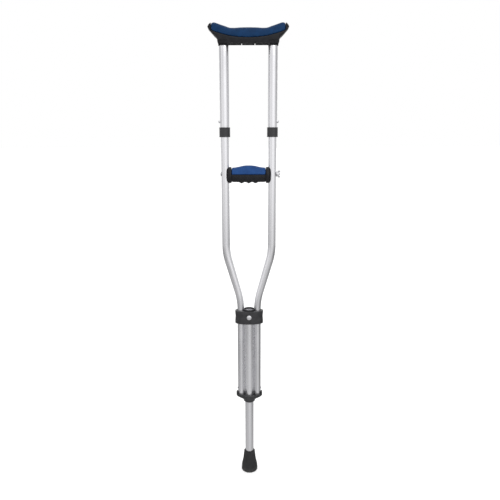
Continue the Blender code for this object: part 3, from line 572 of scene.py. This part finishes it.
def collar(side, sign):
    """The sleeve on the upper tube's end: softly rounded, with a shallow bead at each rim."""
    name = "collar_" + side
    low, high = heights(name)
    outer = size(name).x / 2
    seat, throat = UPPER_R + GAP, BOW_R + FIT
    shelf = UPPER_Z[0] - 0.001
    bead, dip = 0.0024, 0.00035
    corners = [(outer - 0.0004, high, 0.0013), (outer, high - bead / 2, 0.0010),
               (outer - dip, high - bead, 0.0006), (outer - dip, low + bead, 0.0006),
               (outer, low + bead / 2, 0.0010), (outer - 0.0004, low, 0.0013),
               (throat, low, 0.0003), (throat, shelf), (seat, shelf), (seat, high, 0.0003)]
    profile = filleted(corners, closed=True, steps=4)
    made = settle(name + "_fine", moved(lathe(profile, closed=True), (sign * UPRIGHT_X, 0, 0)), BLACK_PLASTIC)
    stand_for(made, name)


def snap_button(side, sign):
    name = "snap_button_" + side
    low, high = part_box(name)
    tip = max(abs(low.x), abs(high.x)) - UPRIGHT_X
    flange_r, back = size(name).z / 2, tip - size(name).x
    front, rise = back + 0.0012, 0.0016
    outline = [(r, tip - rise + z) for r, z in dome(SNAP_R - 0.0003, rise)]
    outline += filleted([outline.pop(), (SNAP_R, tip - rise, 0.0003), (SNAP_R, front)])
    outline += [(flange_r, front), (flange_r, back), (0, back)]
    bm = moved(lathe(outline, 40), (sign * UPRIGHT_X, 0, SNAP_Z), (sign, 0, 0))
    made = settle(name + "_fine", bm, ZINC)
    stand_for(made, name)


# ------------------------ saddle
SADDLE_HALF_X = size("saddle_base").x / 2
SADDLE_HALF_Y = size("saddle_base").y / 2
SADDLE_FOOT_Z = heights("saddle_base")[0]
SADDLE_UNDER_Z = SADDLE_FOOT_Z + 0.004
SOCKET_R = 0.0143
SOCKET_END_Z = 1.2528
SEAT_END_X = 0.0950                  # where the seat ends and the lip begins to rise
FOOT_SHARE = 0.86                    # the underside's depth as a share of the seat's
SADDLE_UNDER = curve_through([(0, SADDLE_UNDER_Z), (0.0780, SADDLE_UNDER_Z), (0.0796, 1.2445),
                              (0.0800, 1.2510), (0.0890, 1.2613), (0.0980, 1.2710), (0.1025, 1.2758),
                              (0.1042, 1.2790), (SADDLE_HALF_X, 1.2805)])
SADDLE_SEAT = curve_through([(0, 1.2535), (0.020, 1.2542), (0.036, 1.2556), (0.045, 1.2568),
                             (0.061, 1.2603), (0.076, 1.2645), (0.087, 1.2685), (SEAT_END_X, 1.2718),
                             (0.0958, 1.2725), (0.0964, 1.2898), (0.0985, 1.2888), (0.1010, 1.2868),
                             (0.1030, 1.2845), (0.1042, 1.2822), (SADDLE_HALF_X, 1.2812)])
SADDLE_TURNS = (0.0780, 0.0788, 0.0796, 0.0798, 0.0800, SEAT_END_X, 0.0954, 0.0958, 0.0961, 0.0964,
                0.0975, 0.0985, 0.0992, 0.1010, 0.1025, 0.1035, 0.1042)
CUSHION_TOP = curve_through([(0, 1.2800), (0.020, 1.2795), (0.038, 1.2784), (0.0445, 1.2784),
                             (0.061, 1.2834), (0.076, 1.2888), (0.083, 1.2916), (0.0885, 1.2930),
                             (0.0925, 1.2924), (0.0955, 1.2906)])
CUSHION_END_X = 0.0955
TONGUE_LOW = Vector((-0.0615, -0.0128, 1.2500))    # the base's raised middle, over the core
TONGUE_HIGH = Vector((0.0615, 0.0128, 1.2607))


def half_depth(x):
    """Half of the saddle's depth: full across the middle, drawn in round at the ends."""
    return SADDLE_HALF_Y * (1 - 0.42 * (abs(x) / SADDLE_HALF_X) ** 6)


def base_section(x):
    low, high, depth = SADDLE_UNDER(x), SADDLE_SEAT(x), half_depth(x)
    bend = min(0.0030, (high - low) * 0.42)
    foot = depth * FOOT_SHARE
    corners = [(foot, low, bend), (depth, high, bend), (-depth, high, bend), (-foot, low, bend)]
    return [(x, y, z) for y, z in filleted(corners, closed=True)]


def mirrored(xs):
    return sorted({-x for x in xs} | set(xs))


def block(low, high):
    """A box between two corners."""
    bm = bmesh.new()
    low, high = Vector(low), Vector(high)
    stretch = Matrix.Diagonal((*(high - low), 1.0))
    bmesh.ops.create_cube(bm, size=1.0, matrix=Matrix.Translation((low + high) / 2) @ stretch)
    return bm


def saddle_base():
    """The moulded base: turned-up ends, tube sockets, grooves at its lower corners, slots."""
    xs = mirrored(spread(0, SADDLE_HALF_X, 0.002, SADDLE_TURNS))
    made = settle("saddle_base_fine", skin([base_section(x) for x in xs]), SOFT_BLACK)
    combine(made, block(TONGUE_LOW, TONGUE_HIGH), "UNION")
    socket_top = SADDLE_UNDER_Z + 0.006
    both_sides(made, filleted([(0, SADDLE_FOOT_Z), (SOCKET_R, SADDLE_FOOT_Z, 0.0008),
                               (SOCKET_R, socket_top), (0, socket_top)]), UPRIGHT_X, "UNION")
    under = SADDLE_FOOT_Z - OVER
    core_low, core_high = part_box("saddle_core")
    combine(made, block((core_low.x - GAP, core_low.y - GAP, under),
                        (core_high.x + GAP, core_high.y + GAP, core_high.z + GAP)))
    bore = UPPER_R + GAP
    both_sides(made, [(0, under), (bore + 0.0008, under), (bore, SADDLE_FOOT_Z + 0.0006),
                      (bore, SOCKET_END_Z), (0, SOCKET_END_Z)], UPRIGHT_X)
    half_slot, slot_x, deep, slot_y = 0.0009, 0.0175, 0.0045, 0.030
    for x in (-slot_x, slot_x):
        combine(made, block((x - half_slot, -slot_y, under), (x + half_slot, slot_y, SADDLE_UNDER_Z + deep)))
    ribs, rib_x, rib_pitch, half_rib = [], 0.0545, 0.0033, 0.0006
    for _, sign in SIDES:
        for way in (-1, 1):
            for k in range(7):
                x = sign * (rib_x + rib_pitch * k)
                wall = way * half_depth(x) * FOOT_SHARE
                near, far = sorted((wall - way * 0.0002, wall + way * 0.004))
                ribs.append(block((x - half_rib, near, SADDLE_UNDER_Z - 0.001),
                                  (x + half_rib, far, SADDLE_UNDER_Z + 0.0085)))
    combine(made, merged(*ribs))
    stand_for(made, "saddle_base")


def cushion_section(x, shrink):
    """A bun-shaped section, flat where it lies on the seat and tucked in at its lower edge."""
    low = SADDLE_SEAT(min(abs(x), SEAT_END_X)) + GAP
    high = CUSHION_TOP(x) - shrink
    depth = half_depth(x) - 0.0006 - shrink
    half = [(depth - 0.0022, low), (depth - 0.0008, low + 0.0006)]
    steps, tuck = 11, 0.0012
    for k in range(steps + 1):
        angle = math.radians(8 + 82 * k / steps)
        y = depth * math.cos(angle) ** 0.55
        z = low + tuck + (high - low - tuck) * math.sin(angle) ** 0.8
        half.append((y, z))
    return [(x, y, z) for y, z in half] + [(x, -y, z) for y, z in reversed(half[:-1])]


CLOTH = {"quality": 6, "mass": 0.25, "tension_stiffness": 25, "compression_stiffness": 25,
         "bending_stiffness": 2.5, "use_pressure": True, "uniform_pressure_force": 4.0,
         "vertex_group_mass": "held"}


def inflate(made, is_held, voxel, cap):
    """Swells a soft piece by cloth pressure, some of it held, no point moving beyond a cap."""
    modify(made, "REMESH", mode="VOXEL", voxel_size=voxel)
    applied(made)
    rest = [v.co.copy() for v in made.data.vertices]
    held = made.vertex_groups.new(name="held")
    held.add([i for i, co in enumerate(rest) if is_held(co)], 1.0, "REPLACE")
    cloth = modify(made, "CLOTH")
    for key, value in CLOTH.items():
        setattr(cloth.settings, key, value)
    cloth.settings.effector_weights.gravity = 0
    cloth.collision_settings.use_collision = False
    for number in range(1, 21):
        bpy.context.scene.frame_set(number)
    applied(made)
    bpy.context.scene.frame_set(1)
    for vertex, start in zip(made.data.vertices, rest):
        move = vertex.co - start
        if move.length > cap:
            vertex.co = start + move.normalized() * cap
    modify(made, "SUBSURF", levels=1, render_levels=1)
    applied(made)
    made.vertex_groups.clear()
    shade(made, 60)


def saddle_cushion():
    """The foam pad: crowned, creased where its ends turn up, blown out tight like moulded foam."""
    xs = mirrored(spread(0, CUSHION_END_X - 0.0006, 0.002))
    made = settle("saddle_pad", skin([cushion_section(x, 0.0010) for x in xs]), SADDLE_FOAM_PAINTED_SHADE)
    gap = Vector((GAP, GAP, GAP)) * 2
    combine(made, block(TONGUE_LOW - gap, TONGUE_HIGH + gap))
    reach = 0.0022

    def rests(co):
        on_tongue = abs(co.x) < TONGUE_HIGH.x + reach and abs(co.y) < TONGUE_HIGH.y + reach
        return co.z < (TONGUE_HIGH.z if on_tongue else SADDLE_SEAT(min(abs(co.x), SEAT_END_X))) + reach

    inflate(made, rests, voxel=0.0022, cap=0.0014)
    stand_for(made, "saddle_cushion")


# ------------------------ hand grip
GRIP_HALF_X = 0.0469
GRIP_LIP_X = size("grip_body").x / 2
FLANGE_R = 0.0220
FLANGE_Z = 0.9023
GRIP_SPLIT_Z = heights("grip_cushion")[0] - GAP
GRIP_CORE_R = 0.0130
GRIP_CORE_HALF_X = 0.050
GRIP_HALF_Y = 0.0182
SCALLOP_Z = 0.8840
RIDGES = (-0.0195, 0.0, 0.0185)
RIDGE_DEPTH = 0.0036
RIDGE_WIDTH = 0.0050
PAD_TOP = curve_through([(0, 0.9291), (0.008, 0.9289), (0.016, 0.9279), (0.026, 0.9256),
                         (0.036, 0.9237), (GRIP_HALF_X, 0.9229)])
BOLT_R = 0.0030


def tread(x, angle):
    """Height of the diagonal grip pattern moulded into the underside: crossed raised ribs."""
    run = angle * GRIP_HALF_Y
    pitch, height, valley, margin = 0.0075, 0.0010, 0.35, 0.002
    lines = [math.cos(math.tau * (x + way * run) / pitch) for way in (-1, 1)]
    fade = min(1.0, max(0.0, (GRIP_HALF_X - margin - abs(x)) / margin))
    edge = min(1.0, max(0.0, (math.sin(angle) - 0.10) / 0.20))
    return height * max(0.0, max(lines) - valley) / (1 - valley) * fade * edge


def grip_underside_section(x):
    steps = 72
    ridge = RIDGE_DEPTH * max(math.exp(-((x - at) / RIDGE_WIDTH) ** 2) for at in RIDGES)
    depth = GRIP_SPLIT_Z - (SCALLOP_Z - ridge)
    points = [(x, 0.0, GRIP_SPLIT_Z)]
    for k in range(steps + 1):
        angle = math.pi * k / steps
        lift = tread(x, angle)
        points.append((x, (GRIP_HALF_Y + lift) * math.cos(angle),
                       GRIP_SPLIT_Z - (depth + lift) * math.sin(angle)))
    return points


def grip_body():
    """The black half of the grip: finger ridges, ribbed underside, flanges that hug the bows."""
    sections = [grip_underside_section(x) for x in spread(-GRIP_HALF_X, GRIP_HALF_X, 0.0006)]
    made = settle("grip_body_fine", skin(sections), SOFT_BLACK)
    core = rod(GRIP_CORE_R, -GRIP_CORE_HALF_X, GRIP_CORE_HALF_X)
    combine(made, moved(core, (0, 0, GRIP_Z), (1, 0, 0)), "UNION")
    reach = GRIP_LIP_X - GRIP_HALF_X
    for _, sign in SIDES:
        flange = lathe(filleted([(0, 0), (FLANGE_R - 0.0008, 0, 0.0018), (FLANGE_R, reach * 0.45, 0.0030),
                                 (FLANGE_R - 0.0006, reach, 0.0016), (0, reach)]))
        combine(made, moved(flange, (sign * GRIP_HALF_X, 0, FLANGE_Z), (sign, 0, 0)), "UNION")
    for _, sign in SIDES:
        combine(made, moved(rod(BOW_R + FIT, -0.03, 0.03), (sign * UPRIGHT_X, 0, GRIP_Z)))
    combine(made, moved(rod(BOLT_R + FIT, -0.07, 0.07, HOLE_ROUND), (0, 0, GRIP_Z), (1, 0, 0)))
    stand_for(made, "grip_body")


def grip_cushion():
    """The blue half of the grip: a crowned foam pad seated on the core between the flanges."""
    shrink, steps, reach = 0.0006, 36, 0.0012
    low = GRIP_SPLIT_Z + GAP
    sections = []
    for x in spread(-GRIP_HALF_X + GAP + shrink, GRIP_HALF_X - GAP - shrink, 0.0015):
        tall = PAD_TOP(x) - shrink - low
        section = [(x, 0.0, low)]
        for k in range(steps + 1):
            angle = math.pi * k / steps
            y = (GRIP_HALF_Y - shrink) * math.cos(angle)
            section.append((x, y, low + tall * math.sin(angle) ** 0.9))
        sections.append(section)
    made = settle("grip_pad", skin(sections), GRIP_FOAM_PAINTED_LIGHT)
    seat = rod(GRIP_CORE_R + FIT, -GRIP_CORE_HALF_X, GRIP_CORE_HALF_X)
    combine(made, moved(seat, (0, 0, GRIP_Z), (1, 0, 0)))

    def rests(co):
        return math.hypot(co.y, co.z - GRIP_Z) < GRIP_CORE_R + reach or co.z < low + reach

    inflate(made, rests, voxel=0.0016, cap=0.0008)
    stand_for(made, "grip_cushion")


def grip_bolt():
    """Domed head on the left, plain shank, and a real helical thread where the nut runs."""
    low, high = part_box("grip_bolt")
    seat = UPRIGHT_X + BOW_R + GAP
    head_r, head_h, edge = size("grip_bolt").z / 2, -low.x - seat, 0.0002
    thread_from, end, pitch, deep = 0.062, high.x, 0.001, 0.00028
    angles = [math.tau * k / 36 for k in range(36)]

    def thread(x, angle):
        phase = (x / pitch - angle / math.tau) % 1.0
        return BOLT_R - deep * (1 - abs(2 * phase - 1)) * min(1.0, (x - thread_from) / pitch)

    outline = [(-seat - z - edge, r) for r, z in dome(head_r - 0.0003, head_h)[1:]]
    outline += [(-seat - edge, head_r), (-seat, head_r - edge), (-seat, BOLT_R), (thread_from, BOLT_R)]
    radii = [(x, [r] * len(angles)) for x, r in outline]
    radii += [(x, [thread(x, angle) for angle in angles])
              for x in spread(thread_from + edge, end - 0.0008, pitch / 8)]
    radii.append((end, [BOLT_R - 0.0008] * len(angles)))
    rings = [[(x, r * math.cos(angle), r * math.sin(angle)) for r, angle in zip(row, angles)]
             for x, row in radii]
    bm = skin([[(-seat - head_h, 0, 0)], *rings])
    bm.transform(Matrix.Translation((0, 0, GRIP_Z)))
    stand_for(settle("grip_bolt_fine", bm, ZINC), "grip_bolt")


def grip_washer():
    low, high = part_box("grip_washer")
    thick, outer, bore, edge = high.x - low.x, size("grip_washer").z / 2, BOLT_R + FIT, 0.0002
    profile = filleted([(outer, thick, edge), (outer, 0, edge), (bore, 0, edge), (bore, thick, edge)],
                       closed=True, steps=3)
    bm = moved(lathe(profile, 48, closed=True), (low.x, 0, GRIP_Z), (1, 0, 0))
    stand_for(settle("grip_washer_fine", bm, ZINC), "grip_washer")


def wing_nut():
    """A flared hub with two pressed wings, each a rounded blade that spreads outwards."""
    low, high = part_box("wing_nut")
    tall, reach, span, tilt = 0.0060, high.x - low.x, 0.0135, math.radians(-52)
    bore = BOLT_R + FIT
    profile = filleted([(0.0047, tall, 0.0005), (0.0050, tall * 0.45, 0.0020), (0.0061, 0.0008, 0.0004),
                        (0.0061, 0, 0.0002), (bore, 0, 0.0002), (bore, tall, 0.0002)], closed=True)
    made = settle("wing_nut_fine", moved(lathe(profile, 64, closed=True), (low.x, 0, GRIP_Z), (1, 0, 0)),
                  CAST_ZINC)
    outline = filleted([(0.0040, 0.0010), (0.0040, 0.0052), (0.0070, 0.0080, 0.0030),
                        (0.0098, reach, 0.0022), (span, reach - 0.0004, 0.0026),
                        (0.0128, reach - 0.0056, 0.0030), (0.0088, 0.0016, 0.0030),
                        (0.0062, 0.0006)], steps=7)
    half_thick, soft = 0.0010, 0.0004
    middle = Vector((sum(a for a, _ in outline), sum(b for _, b in outline))) / len(outline)
    layers = [(-half_thick, soft), (-half_thick + soft * 0.3, soft * 0.3), (-half_thick + soft, 0),
              (half_thick - soft, 0), (half_thick - soft * 0.3, soft * 0.3), (half_thick, soft)]
    for sign in (-1, 1):
        rings = []
        for aside, inset in layers:
            ring = []
            for out, up in outline:
                spot = Vector((out, up))
                spot += (middle - spot).normalized() * inset
                flat = Vector((spot.y, sign * spot.x, aside))
                turned = Matrix.Rotation(tilt, 3, "X") @ flat
                ring.append((low.x + turned.x, turned.y, GRIP_Z + turned.z))
            rings.append(ring)
        combine(made, skin(rings), "UNION")
    stand_for(made, "wing_nut")


# ------------------------ clamp, cup and rivets
OVAL_POWER = 2.25
CLAMP_HALF_X = size("yoke_clamp").x / 2
CLAMP_HALF_Y = size("yoke_clamp").y / 2
CLAMP_TOP_Z = 0.5150
CLAMP_RING_R = 0.0158
CLAMP_LIP_R = 0.0133
CLAMP_RIVET_SEAT = 0.0138
RIVET_HEAD_R = size("cup_rivet_right").z / 2
CUP_TALL = 0.0308                    # the cup's horns above its foot; its plugs stand higher
CUP_RIM = [(0, 0.2510), (0.008, 0.2514), (0.016, 0.2530), (0.024, 0.2546), (0.031, 0.2554),
           (0.0345, 0.2575), (0.0358, 0.2630)]


def yoke_clamp():
    """The moulded block round the three tubes: waisted, soft-edged, a ring round the sleeve."""
    low, ring_top = heights("yoke_clamp")
    high, waist, rim = CLAMP_TOP_Z, -0.0011, 0.0024
    side = filleted([(-0.0020, low), (-0.0002, low, 0.0012), (0, low + 0.0080, 0.0200),
                     (waist, LOCK_Z, 0.0300), (0, high - 0.0070, 0.0200), (0, high, 0.0010),
                     (-rim, high)], steps=6)
    rings = [oval(CLAMP_HALF_X + inset, CLAMP_HALF_Y + inset * 0.5, z, OVAL_POWER) for inset, z in side]
    made = settle("yoke_clamp_fine", skin(rings), BLACK_PLASTIC)
    combine(made, lathe(filleted([(0, LOCK_Z), (CLAMP_RING_R, LOCK_Z), (CLAMP_RING_R, ring_top, 0.0006),
                                  (0, ring_top)])), "UNION")
    bore, under, over = BOW_LOW_R + FIT, low - OVER, ring_top + OVER
    both_sides(made, [(0, under), (bore + 0.0012, under), (bore, low + 0.0005), (bore, high - 0.0005),
                      (bore + 0.0012, high + 0.0016), (bore + 0.0012, over), (0, over)], BOW_LOW_X)
    sleeve, sleeve_top = SLEEVE_R + GAP, SLEEVE_Z[1] + GAP
    combine(made, lathe([(0, under), (sleeve, under), (sleeve, sleeve_top), (CLAMP_LIP_R, sleeve_top),
                         (CLAMP_LIP_R, ring_top - 0.0006), (CLAMP_LIP_R + 0.0014, over), (0, over)]))
    combine(made, drill((0, 0, LOCK_Z), (0, -1, 0), LOCK_HOLE_R, CLAMP_HALF_Y + waist * 0.5, 0.03))
    for _, sign in SIDES:
        start = (sign * BOW_LOW_X, 0, LOCK_Z)
        combine(made, drill(start, (0, 1, 0), RIVET_HOLE_R, 0.03, 0.032))
        seat = lathe(filleted([(0, CLAMP_RIVET_SEAT), (0.0044, CLAMP_RIVET_SEAT, 0.0004), (0.0044, 0.016),
                               (0.0056, 0.021), (0, 0.021)], steps=3), HOLE_ROUND)
        combine(made, moved(seat, start, (0, 1, 0)))
    stand_for(made, "yoke_clamp")


def yoke_cup():
    """The moulded foot of the bows: a rounded rim that funnels in to a neck round the leg."""
    low = heights("yoke_cup")[0]
    high = low + CUP_TALL
    wide_x, wide_y = size("yoke_cup").x / 2, size("yoke_cup").y / 2
    half_x = curve_through([(0, 0.0150), (0.0010, 0.0164), (0.0050, 0.0180), (0.0095, 0.0218),
                            (0.0135, 0.0305), (0.0165, 0.0360), (0.0190, 0.0382), (0.0220, wide_x),
                            (CUP_TALL - 0.0010, wide_x), (CUP_TALL, wide_x - 0.0009)])
    half_y = curve_through([(0, 0.0150), (0.0010, 0.0160), (0.0050, 0.0164), (0.0095, 0.0168),
                            (0.0135, 0.0176), (0.0165, 0.0182), (0.0220, wide_y),
                            (CUP_TALL - 0.0010, wide_y), (CUP_TALL, wide_y - 0.0009)])
    power = curve_through([(0, 2.0), (0.0100, 2.05), (0.0170, 2.2), (0.0220, OVAL_POWER),
                           (CUP_TALL, OVAL_POWER)])
    ups = spread(0, CUP_TALL, 0.0006, (0.0002, 0.0004, CUP_TALL - 0.0004, CUP_TALL - 0.0002))
    rings = [oval(half_x(up), half_y(up), low + up, power(up)) for up in ups]
    made = settle("yoke_cup_fine", skin(rings), BLACK_PLASTIC)
    rim, rim_x, over = curve_through(CUP_RIM), CUP_RIM[-1][0], high + OVER
    dip = [(x, rim(x)) for x in mirrored(spread(0, rim_x, 0.0012))]
    dip += [(rim_x, over + 0.01), (-rim_x, over + 0.01)]
    combine(made, skin([[(x, y, z) for x, z in dip] for y in (-wide_x, wide_x)]))
    soften(made, 0.0006)
    bore, floor = BOW_LOW_R + FIT, BOW_Z[0] - GAP
    both_sides(made, [(0, floor), (bore, floor), (bore, high - 0.0005), (bore + 0.0012, over), (0, over)],
               BOW_LOW_X)
    throat, seat, seat_z = LEG_R + FIT, SLEEVE_R + GAP, SLEEVE_Z[0] - GAP
    combine(made, lathe([(0, low - OVER), (throat + 0.0008, low - OVER), (throat, low + 0.0005),
                         (throat, seat_z), (seat, seat_z), (seat, high - 0.0005),
                         (SLEEVE_R + 0.0015, over), (0, over)]))
    stand_for(made, "yoke_cup")


def rivet(name, place, axis, length):
    """A domed rivet whose head stands on the surface at place."""
    shank, rise = 0.0016, 0.0016
    outline = [(r, GAP + z) for r, z in dome(RIVET_HEAD_R, rise)]
    outline += [(RIVET_HEAD_R - 0.0001, GAP), (shank, GAP), (shank, -length), (0, -length)]
    stand_for(settle(name + "_fine", moved(lathe(outline, 40), place, axis), ZINC), name)


def leg_lock_pin():
    """The plunger's knob, domed with a soft rim, and its pin into the leg."""
    low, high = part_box("leg_lock_pin")
    back, tip, front = CLAMP_HALF_Y + GAP, -high.y, -low.y
    knob_r, rise, pin_r = size("leg_lock_pin").x / 2, 0.0012, 0.0029
    outline = [(r, front - rise + z) for r, z in dome(knob_r - 0.0005, rise)]
    outline += filleted([outline.pop(), (knob_r, front - rise - 0.0002, 0.0004),
                         (knob_r, back + 0.0008, 0.0004), (knob_r - 0.0009, back), (pin_r, back)], steps=4)
    outline += [(pin_r, tip + 0.0005), (pin_r - 0.0005, tip), (0, tip)]
    bm = moved(lathe(outline, 56), (0, 0, LOCK_Z), (0, -1, 0))
    stand_for(settle("leg_lock_pin_fine", bm, ZINC), "leg_lock_pin")


# ------------------------ rubber tip
def rubber_tip():
    """A bell-shaped foot: thin lip, flared wall with two moulded beads, rounded and ringed tread."""
    low, top = heights("rubber_tip")
    outer = size("rubber_tip").x / 2
    bore, floor, groove = LEG_R + FIT, 0.0120, 0.0020
    wall = curve_through([(0.0060, outer), (0.0130, 0.0234), (0.0200, 0.0226), (0.0262, 0.0215),
                          (0.0335, 0.0199), (0.0395, 0.0188), (0.0475, 0.0180), (0.0545, 0.0172),
                          (top - 0.0008, 0.0164)])
    bead_at, bead_width, bead_rise = (0.0145, 0.0205), 0.0011, 0.00040

    def side(z):
        beads = sum(math.exp(-((z - at) / bead_width) ** 2) for at in bead_at)
        return min(outer, wall(z) + bead_rise * beads)

    profile = [(0, floor), (bore, floor), (bore, top - 0.0003), (bore + 0.0003, top)]
    shoulder = top - 0.0020
    profile += filleted([profile.pop(), (side(top) + 0.0001, top, 0.0007), (side(shoulder), shoulder)])
    profile += [(side(z), z) for z in reversed(spread(0.0062, top - 0.0026, 0.0005))]
    profile += filleted([(outer, 0.0060), (outer, low, 0.0034), (0.0190, low)], steps=8)
    slope = 0.0006
    for outside, inside, after in ((0.0190, 0.0160, 0.0122), (0.0122, 0.0092, 0.0054)):
        profile += [(outside - slope, groove), (inside + slope, groove), (inside, low), (after, low)]
    profile += [(0.0054 - slope, groove), (0, groove)]
    made = settle("rubber_tip_fine", lathe(profile), TIP_RUBBER)
    stand_for(made, "rubber_tip")


# ------------------------ stage, light and camera
CAMERA_AT = (0.0038, -1.4817, 1.0224)
CAMERA_DOWN = math.radians(12.56)
CAMERA_ROLL = math.radians(0.143)
CAMERA_LENS = 38.79
FLOOR_HALF = 30

# Brightness round the crutch, by degrees from the front towards +X: for light from level and
# above, and for light from below
LIGHT_ROUND_HIGH = ((-180, 0.8), (-135, 0.70), (-118, 0.50), (-95, 0.38), (-75, 0.62), (-60, 0.92),
                    (-45, 0.80), (-28, 0.72), (-12, 0.92), (15, 1.08), (45, 1.04), (60, 0.68),
                    (75, 0.52), (90, 0.27), (105, 0.36), (135, 0.50), (180, 0.8))
LIGHT_ROUND_LOW = ((-180, 0.35), (-135, 0.50), (-115, 0.38), (-92, 0.37), (-72, 0.60), (-58, 0.50),
                   (-40, 0.56), (-15, 0.80), (12, 0.96), (30, 0.85), (45, 0.72), (62, 0.34),
                   (80, 0.30), (105, 0.20), (135, 0.38), (180, 0.35))
LOW_TO_HIGH = (-0.30, -0.12)         # heights of direction between which one gives way to the other
# Brightness by height of direction, and the share of it that is even all round
LIGHT_UP = ((-1.0, 0.5), (-0.6, 0.78), (-0.5, 0.78), (-0.42, 0.68), (-0.34, 0.61), (-0.2, 0.73),
            (-0.13, 1.03), (0.0, 1.21), (0.12, 1.04), (0.5, 1.2), (1.0, 1.35))
LIGHT_EVEN = ((-1.0, 0.8), (-0.6, 0.5), (-0.5, 0.25), (-0.42, 0.1), (-0.3, 0.05), (-0.2, 0.35),
              (-0.12, 0.45), (-0.04, 0.40), (0.06, 0.10), (0.2, 0.05), (0.5, 0.8), (1.0, 1.0))
ROUND_MOST = 1.6                     # a ramp holds 0 to 1, so brightness is stored as a share of these
UP_MOST = 2.0


def floor():
    material, _, _ = new_shader("floor", (0.92, 0.92, 0.92), 0.9, Specular_IOR_Level=0.1,
                                Emission_Color=(1.0, 1.0, 1.0, 1.0), Emission_Strength=0.18)
    square = [(FLOOR_HALF * x, FLOOR_HALF * y) for x, y in ((-1, -1), (1, -1), (1, 1), (-1, 1))]
    made = settle("floor", skin([[(x, y, z) for x, y in square] for z in (-0.02, 0.0)]), material)
    made.visible_glossy = False


def ramp(tree, value, stops):
    """A grey ramp through (position, brightness) stops."""
    made = node(tree, "ShaderNodeValToRGB", Fac=value)
    elements = made.color_ramp.elements
    while len(elements) > 1:
        elements.remove(elements[-1])
    made.color_ramp.interpolation = "EASE"
    for k, (position, bright) in enumerate(stops):
        element = elements[0] if k == 0 else elements.new(position)
        element.position = position
        element.color = (bright, bright, bright, 1)
    return made.outputs["Color"]


def studio():
    """White surroundings to look at; softboxes in front with dark gaps beside them to light by."""
    world = bpy.data.worlds.new("studio")
    bpy.context.scene.world = world
    world.use_nodes = True
    tree = world.node_tree
    tree.nodes.clear()
    where = node(tree, "ShaderNodeTexCoord").outputs["Generated"]
    split = node(tree, "ShaderNodeSeparateXYZ", Vector=where).outputs
    ahead = node(tree, "ShaderNodeMath", {"operation": "MULTIPLY"}, i0=split["Y"], i1=-1.0)
    turn = node(tree, "ShaderNodeMath", {"operation": "ARCTAN2"}, i0=split["X"], i1=ahead.outputs[0])
    around = remap(tree, turn.outputs[0], -math.pi, math.pi)
    high_bands, low_bands = (ramp(tree, around, [((a + 180) / 360, b / ROUND_MOST) for a, b in stops])
                             for stops in (LIGHT_ROUND_HIGH, LIGHT_ROUND_LOW))
    bands = mix_colour(tree, remap(tree, split["Z"], *LOW_TO_HIGH), low_bands, high_bands)
    upward = remap(tree, split["Z"], -1, 1)
    tall = ramp(tree, upward, [((z + 1) / 2, b / UP_MOST) for z, b in LIGHT_UP])
    even = ramp(tree, upward, [((z + 1) / 2, b) for z, b in LIGHT_EVEN])
    pattern = mix_colour(tree, even, bands, (1 / ROUND_MOST,) * 3)
    light = mix_colour(tree, 1.0, pattern, tall, "MULTIPLY")
    lit = node(tree, "ShaderNodeBackground", Color=light, Strength=ROUND_MOST * UP_MOST)
    seen = node(tree, "ShaderNodeBackground", Color=(1, 1, 1, 1), Strength=1.0)
    camera_ray = node(tree, "ShaderNodeLightPath").outputs["Is Camera Ray"]
    both = node(tree, "ShaderNodeMixShader", i0=camera_ray, i1=lit.outputs[0], i2=seen.outputs[0])
    output = node(tree, "ShaderNodeOutputWorld")
    tree.links.new(both.outputs[0], output.inputs["Surface"])


def area_light(name, place, target, wide, energy):
    data = bpy.data.lights.new(name, "AREA")
    data.shape = "DISK"
    data.size = wide
    data.energy = energy
    made = bpy.data.objects.new(name, data)
    made.location = place
    made.rotation_euler = (Vector(target) - Vector(place)).to_track_quat("-Z", "Y").to_euler()
    bpy.context.scene.collection.objects.link(made)


def camera():
    data = bpy.data.cameras.new("camera")
    data.lens = CAMERA_LENS
    data.sensor_width = 36.0
    made = bpy.data.objects.new("camera", data)
    made.location = CAMERA_AT
    made.rotation_euler = (math.pi / 2 - CAMERA_DOWN, CAMERA_ROLL, 0)
    bpy.context.scene.collection.objects.link(made)
    bpy.context.scene.camera = made


# ------------------------ the crutch
camera()
studio()
floor()
area_light("key", (0.9, -1.7, 2.3), (0, 0, 0.9), 0.9, 9)
bpy.context.scene.view_settings.view_transform = "Standard"

carry_over()
for SIDE, SIGN in SIDES:
    tube("upper_tube_" + SIDE, UPPER_R, BOW_R + FIT, UPPER_Z, SNAP_HOLES, SNAP_HOLE_R, (SIGN, 0, 0),
         SIGN * UPRIGHT_X)
    bow(SIDE, SIGN)
    collar(SIDE, SIGN)
    snap_button(SIDE, SIGN)
    rivet("clamp_rivet_" + SIDE, (SIGN * BOW_LOW_X, CLAMP_RIVET_SEAT, LOCK_Z), (0, 1, 0), 0.0065)
    rivet("cup_rivet_" + SIDE, (SIGN * (BOW_LOW_X + BOW_LOW_R), 0, CUP_RIVET_Z), (SIGN, 0, 0), 0.0060)
saddle_base()
saddle_cushion()
grip_body()
grip_cushion()
grip_bolt()
grip_washer()
wing_nut()
tube("leg_sleeve", SLEEVE_R, LEG_R + FIT, SLEEVE_Z, [LOCK_Z], LOCK_HOLE_R, (0, -1, 0))
yoke_clamp()
yoke_cup()
leg_lock_pin()
tube("leg_tube", LEG_R, LEG_R - LEG_WALL, LEG_Z, LOCK_HOLES, LOCK_HOLE_R, (0, -1, 0))
rubber_tip()
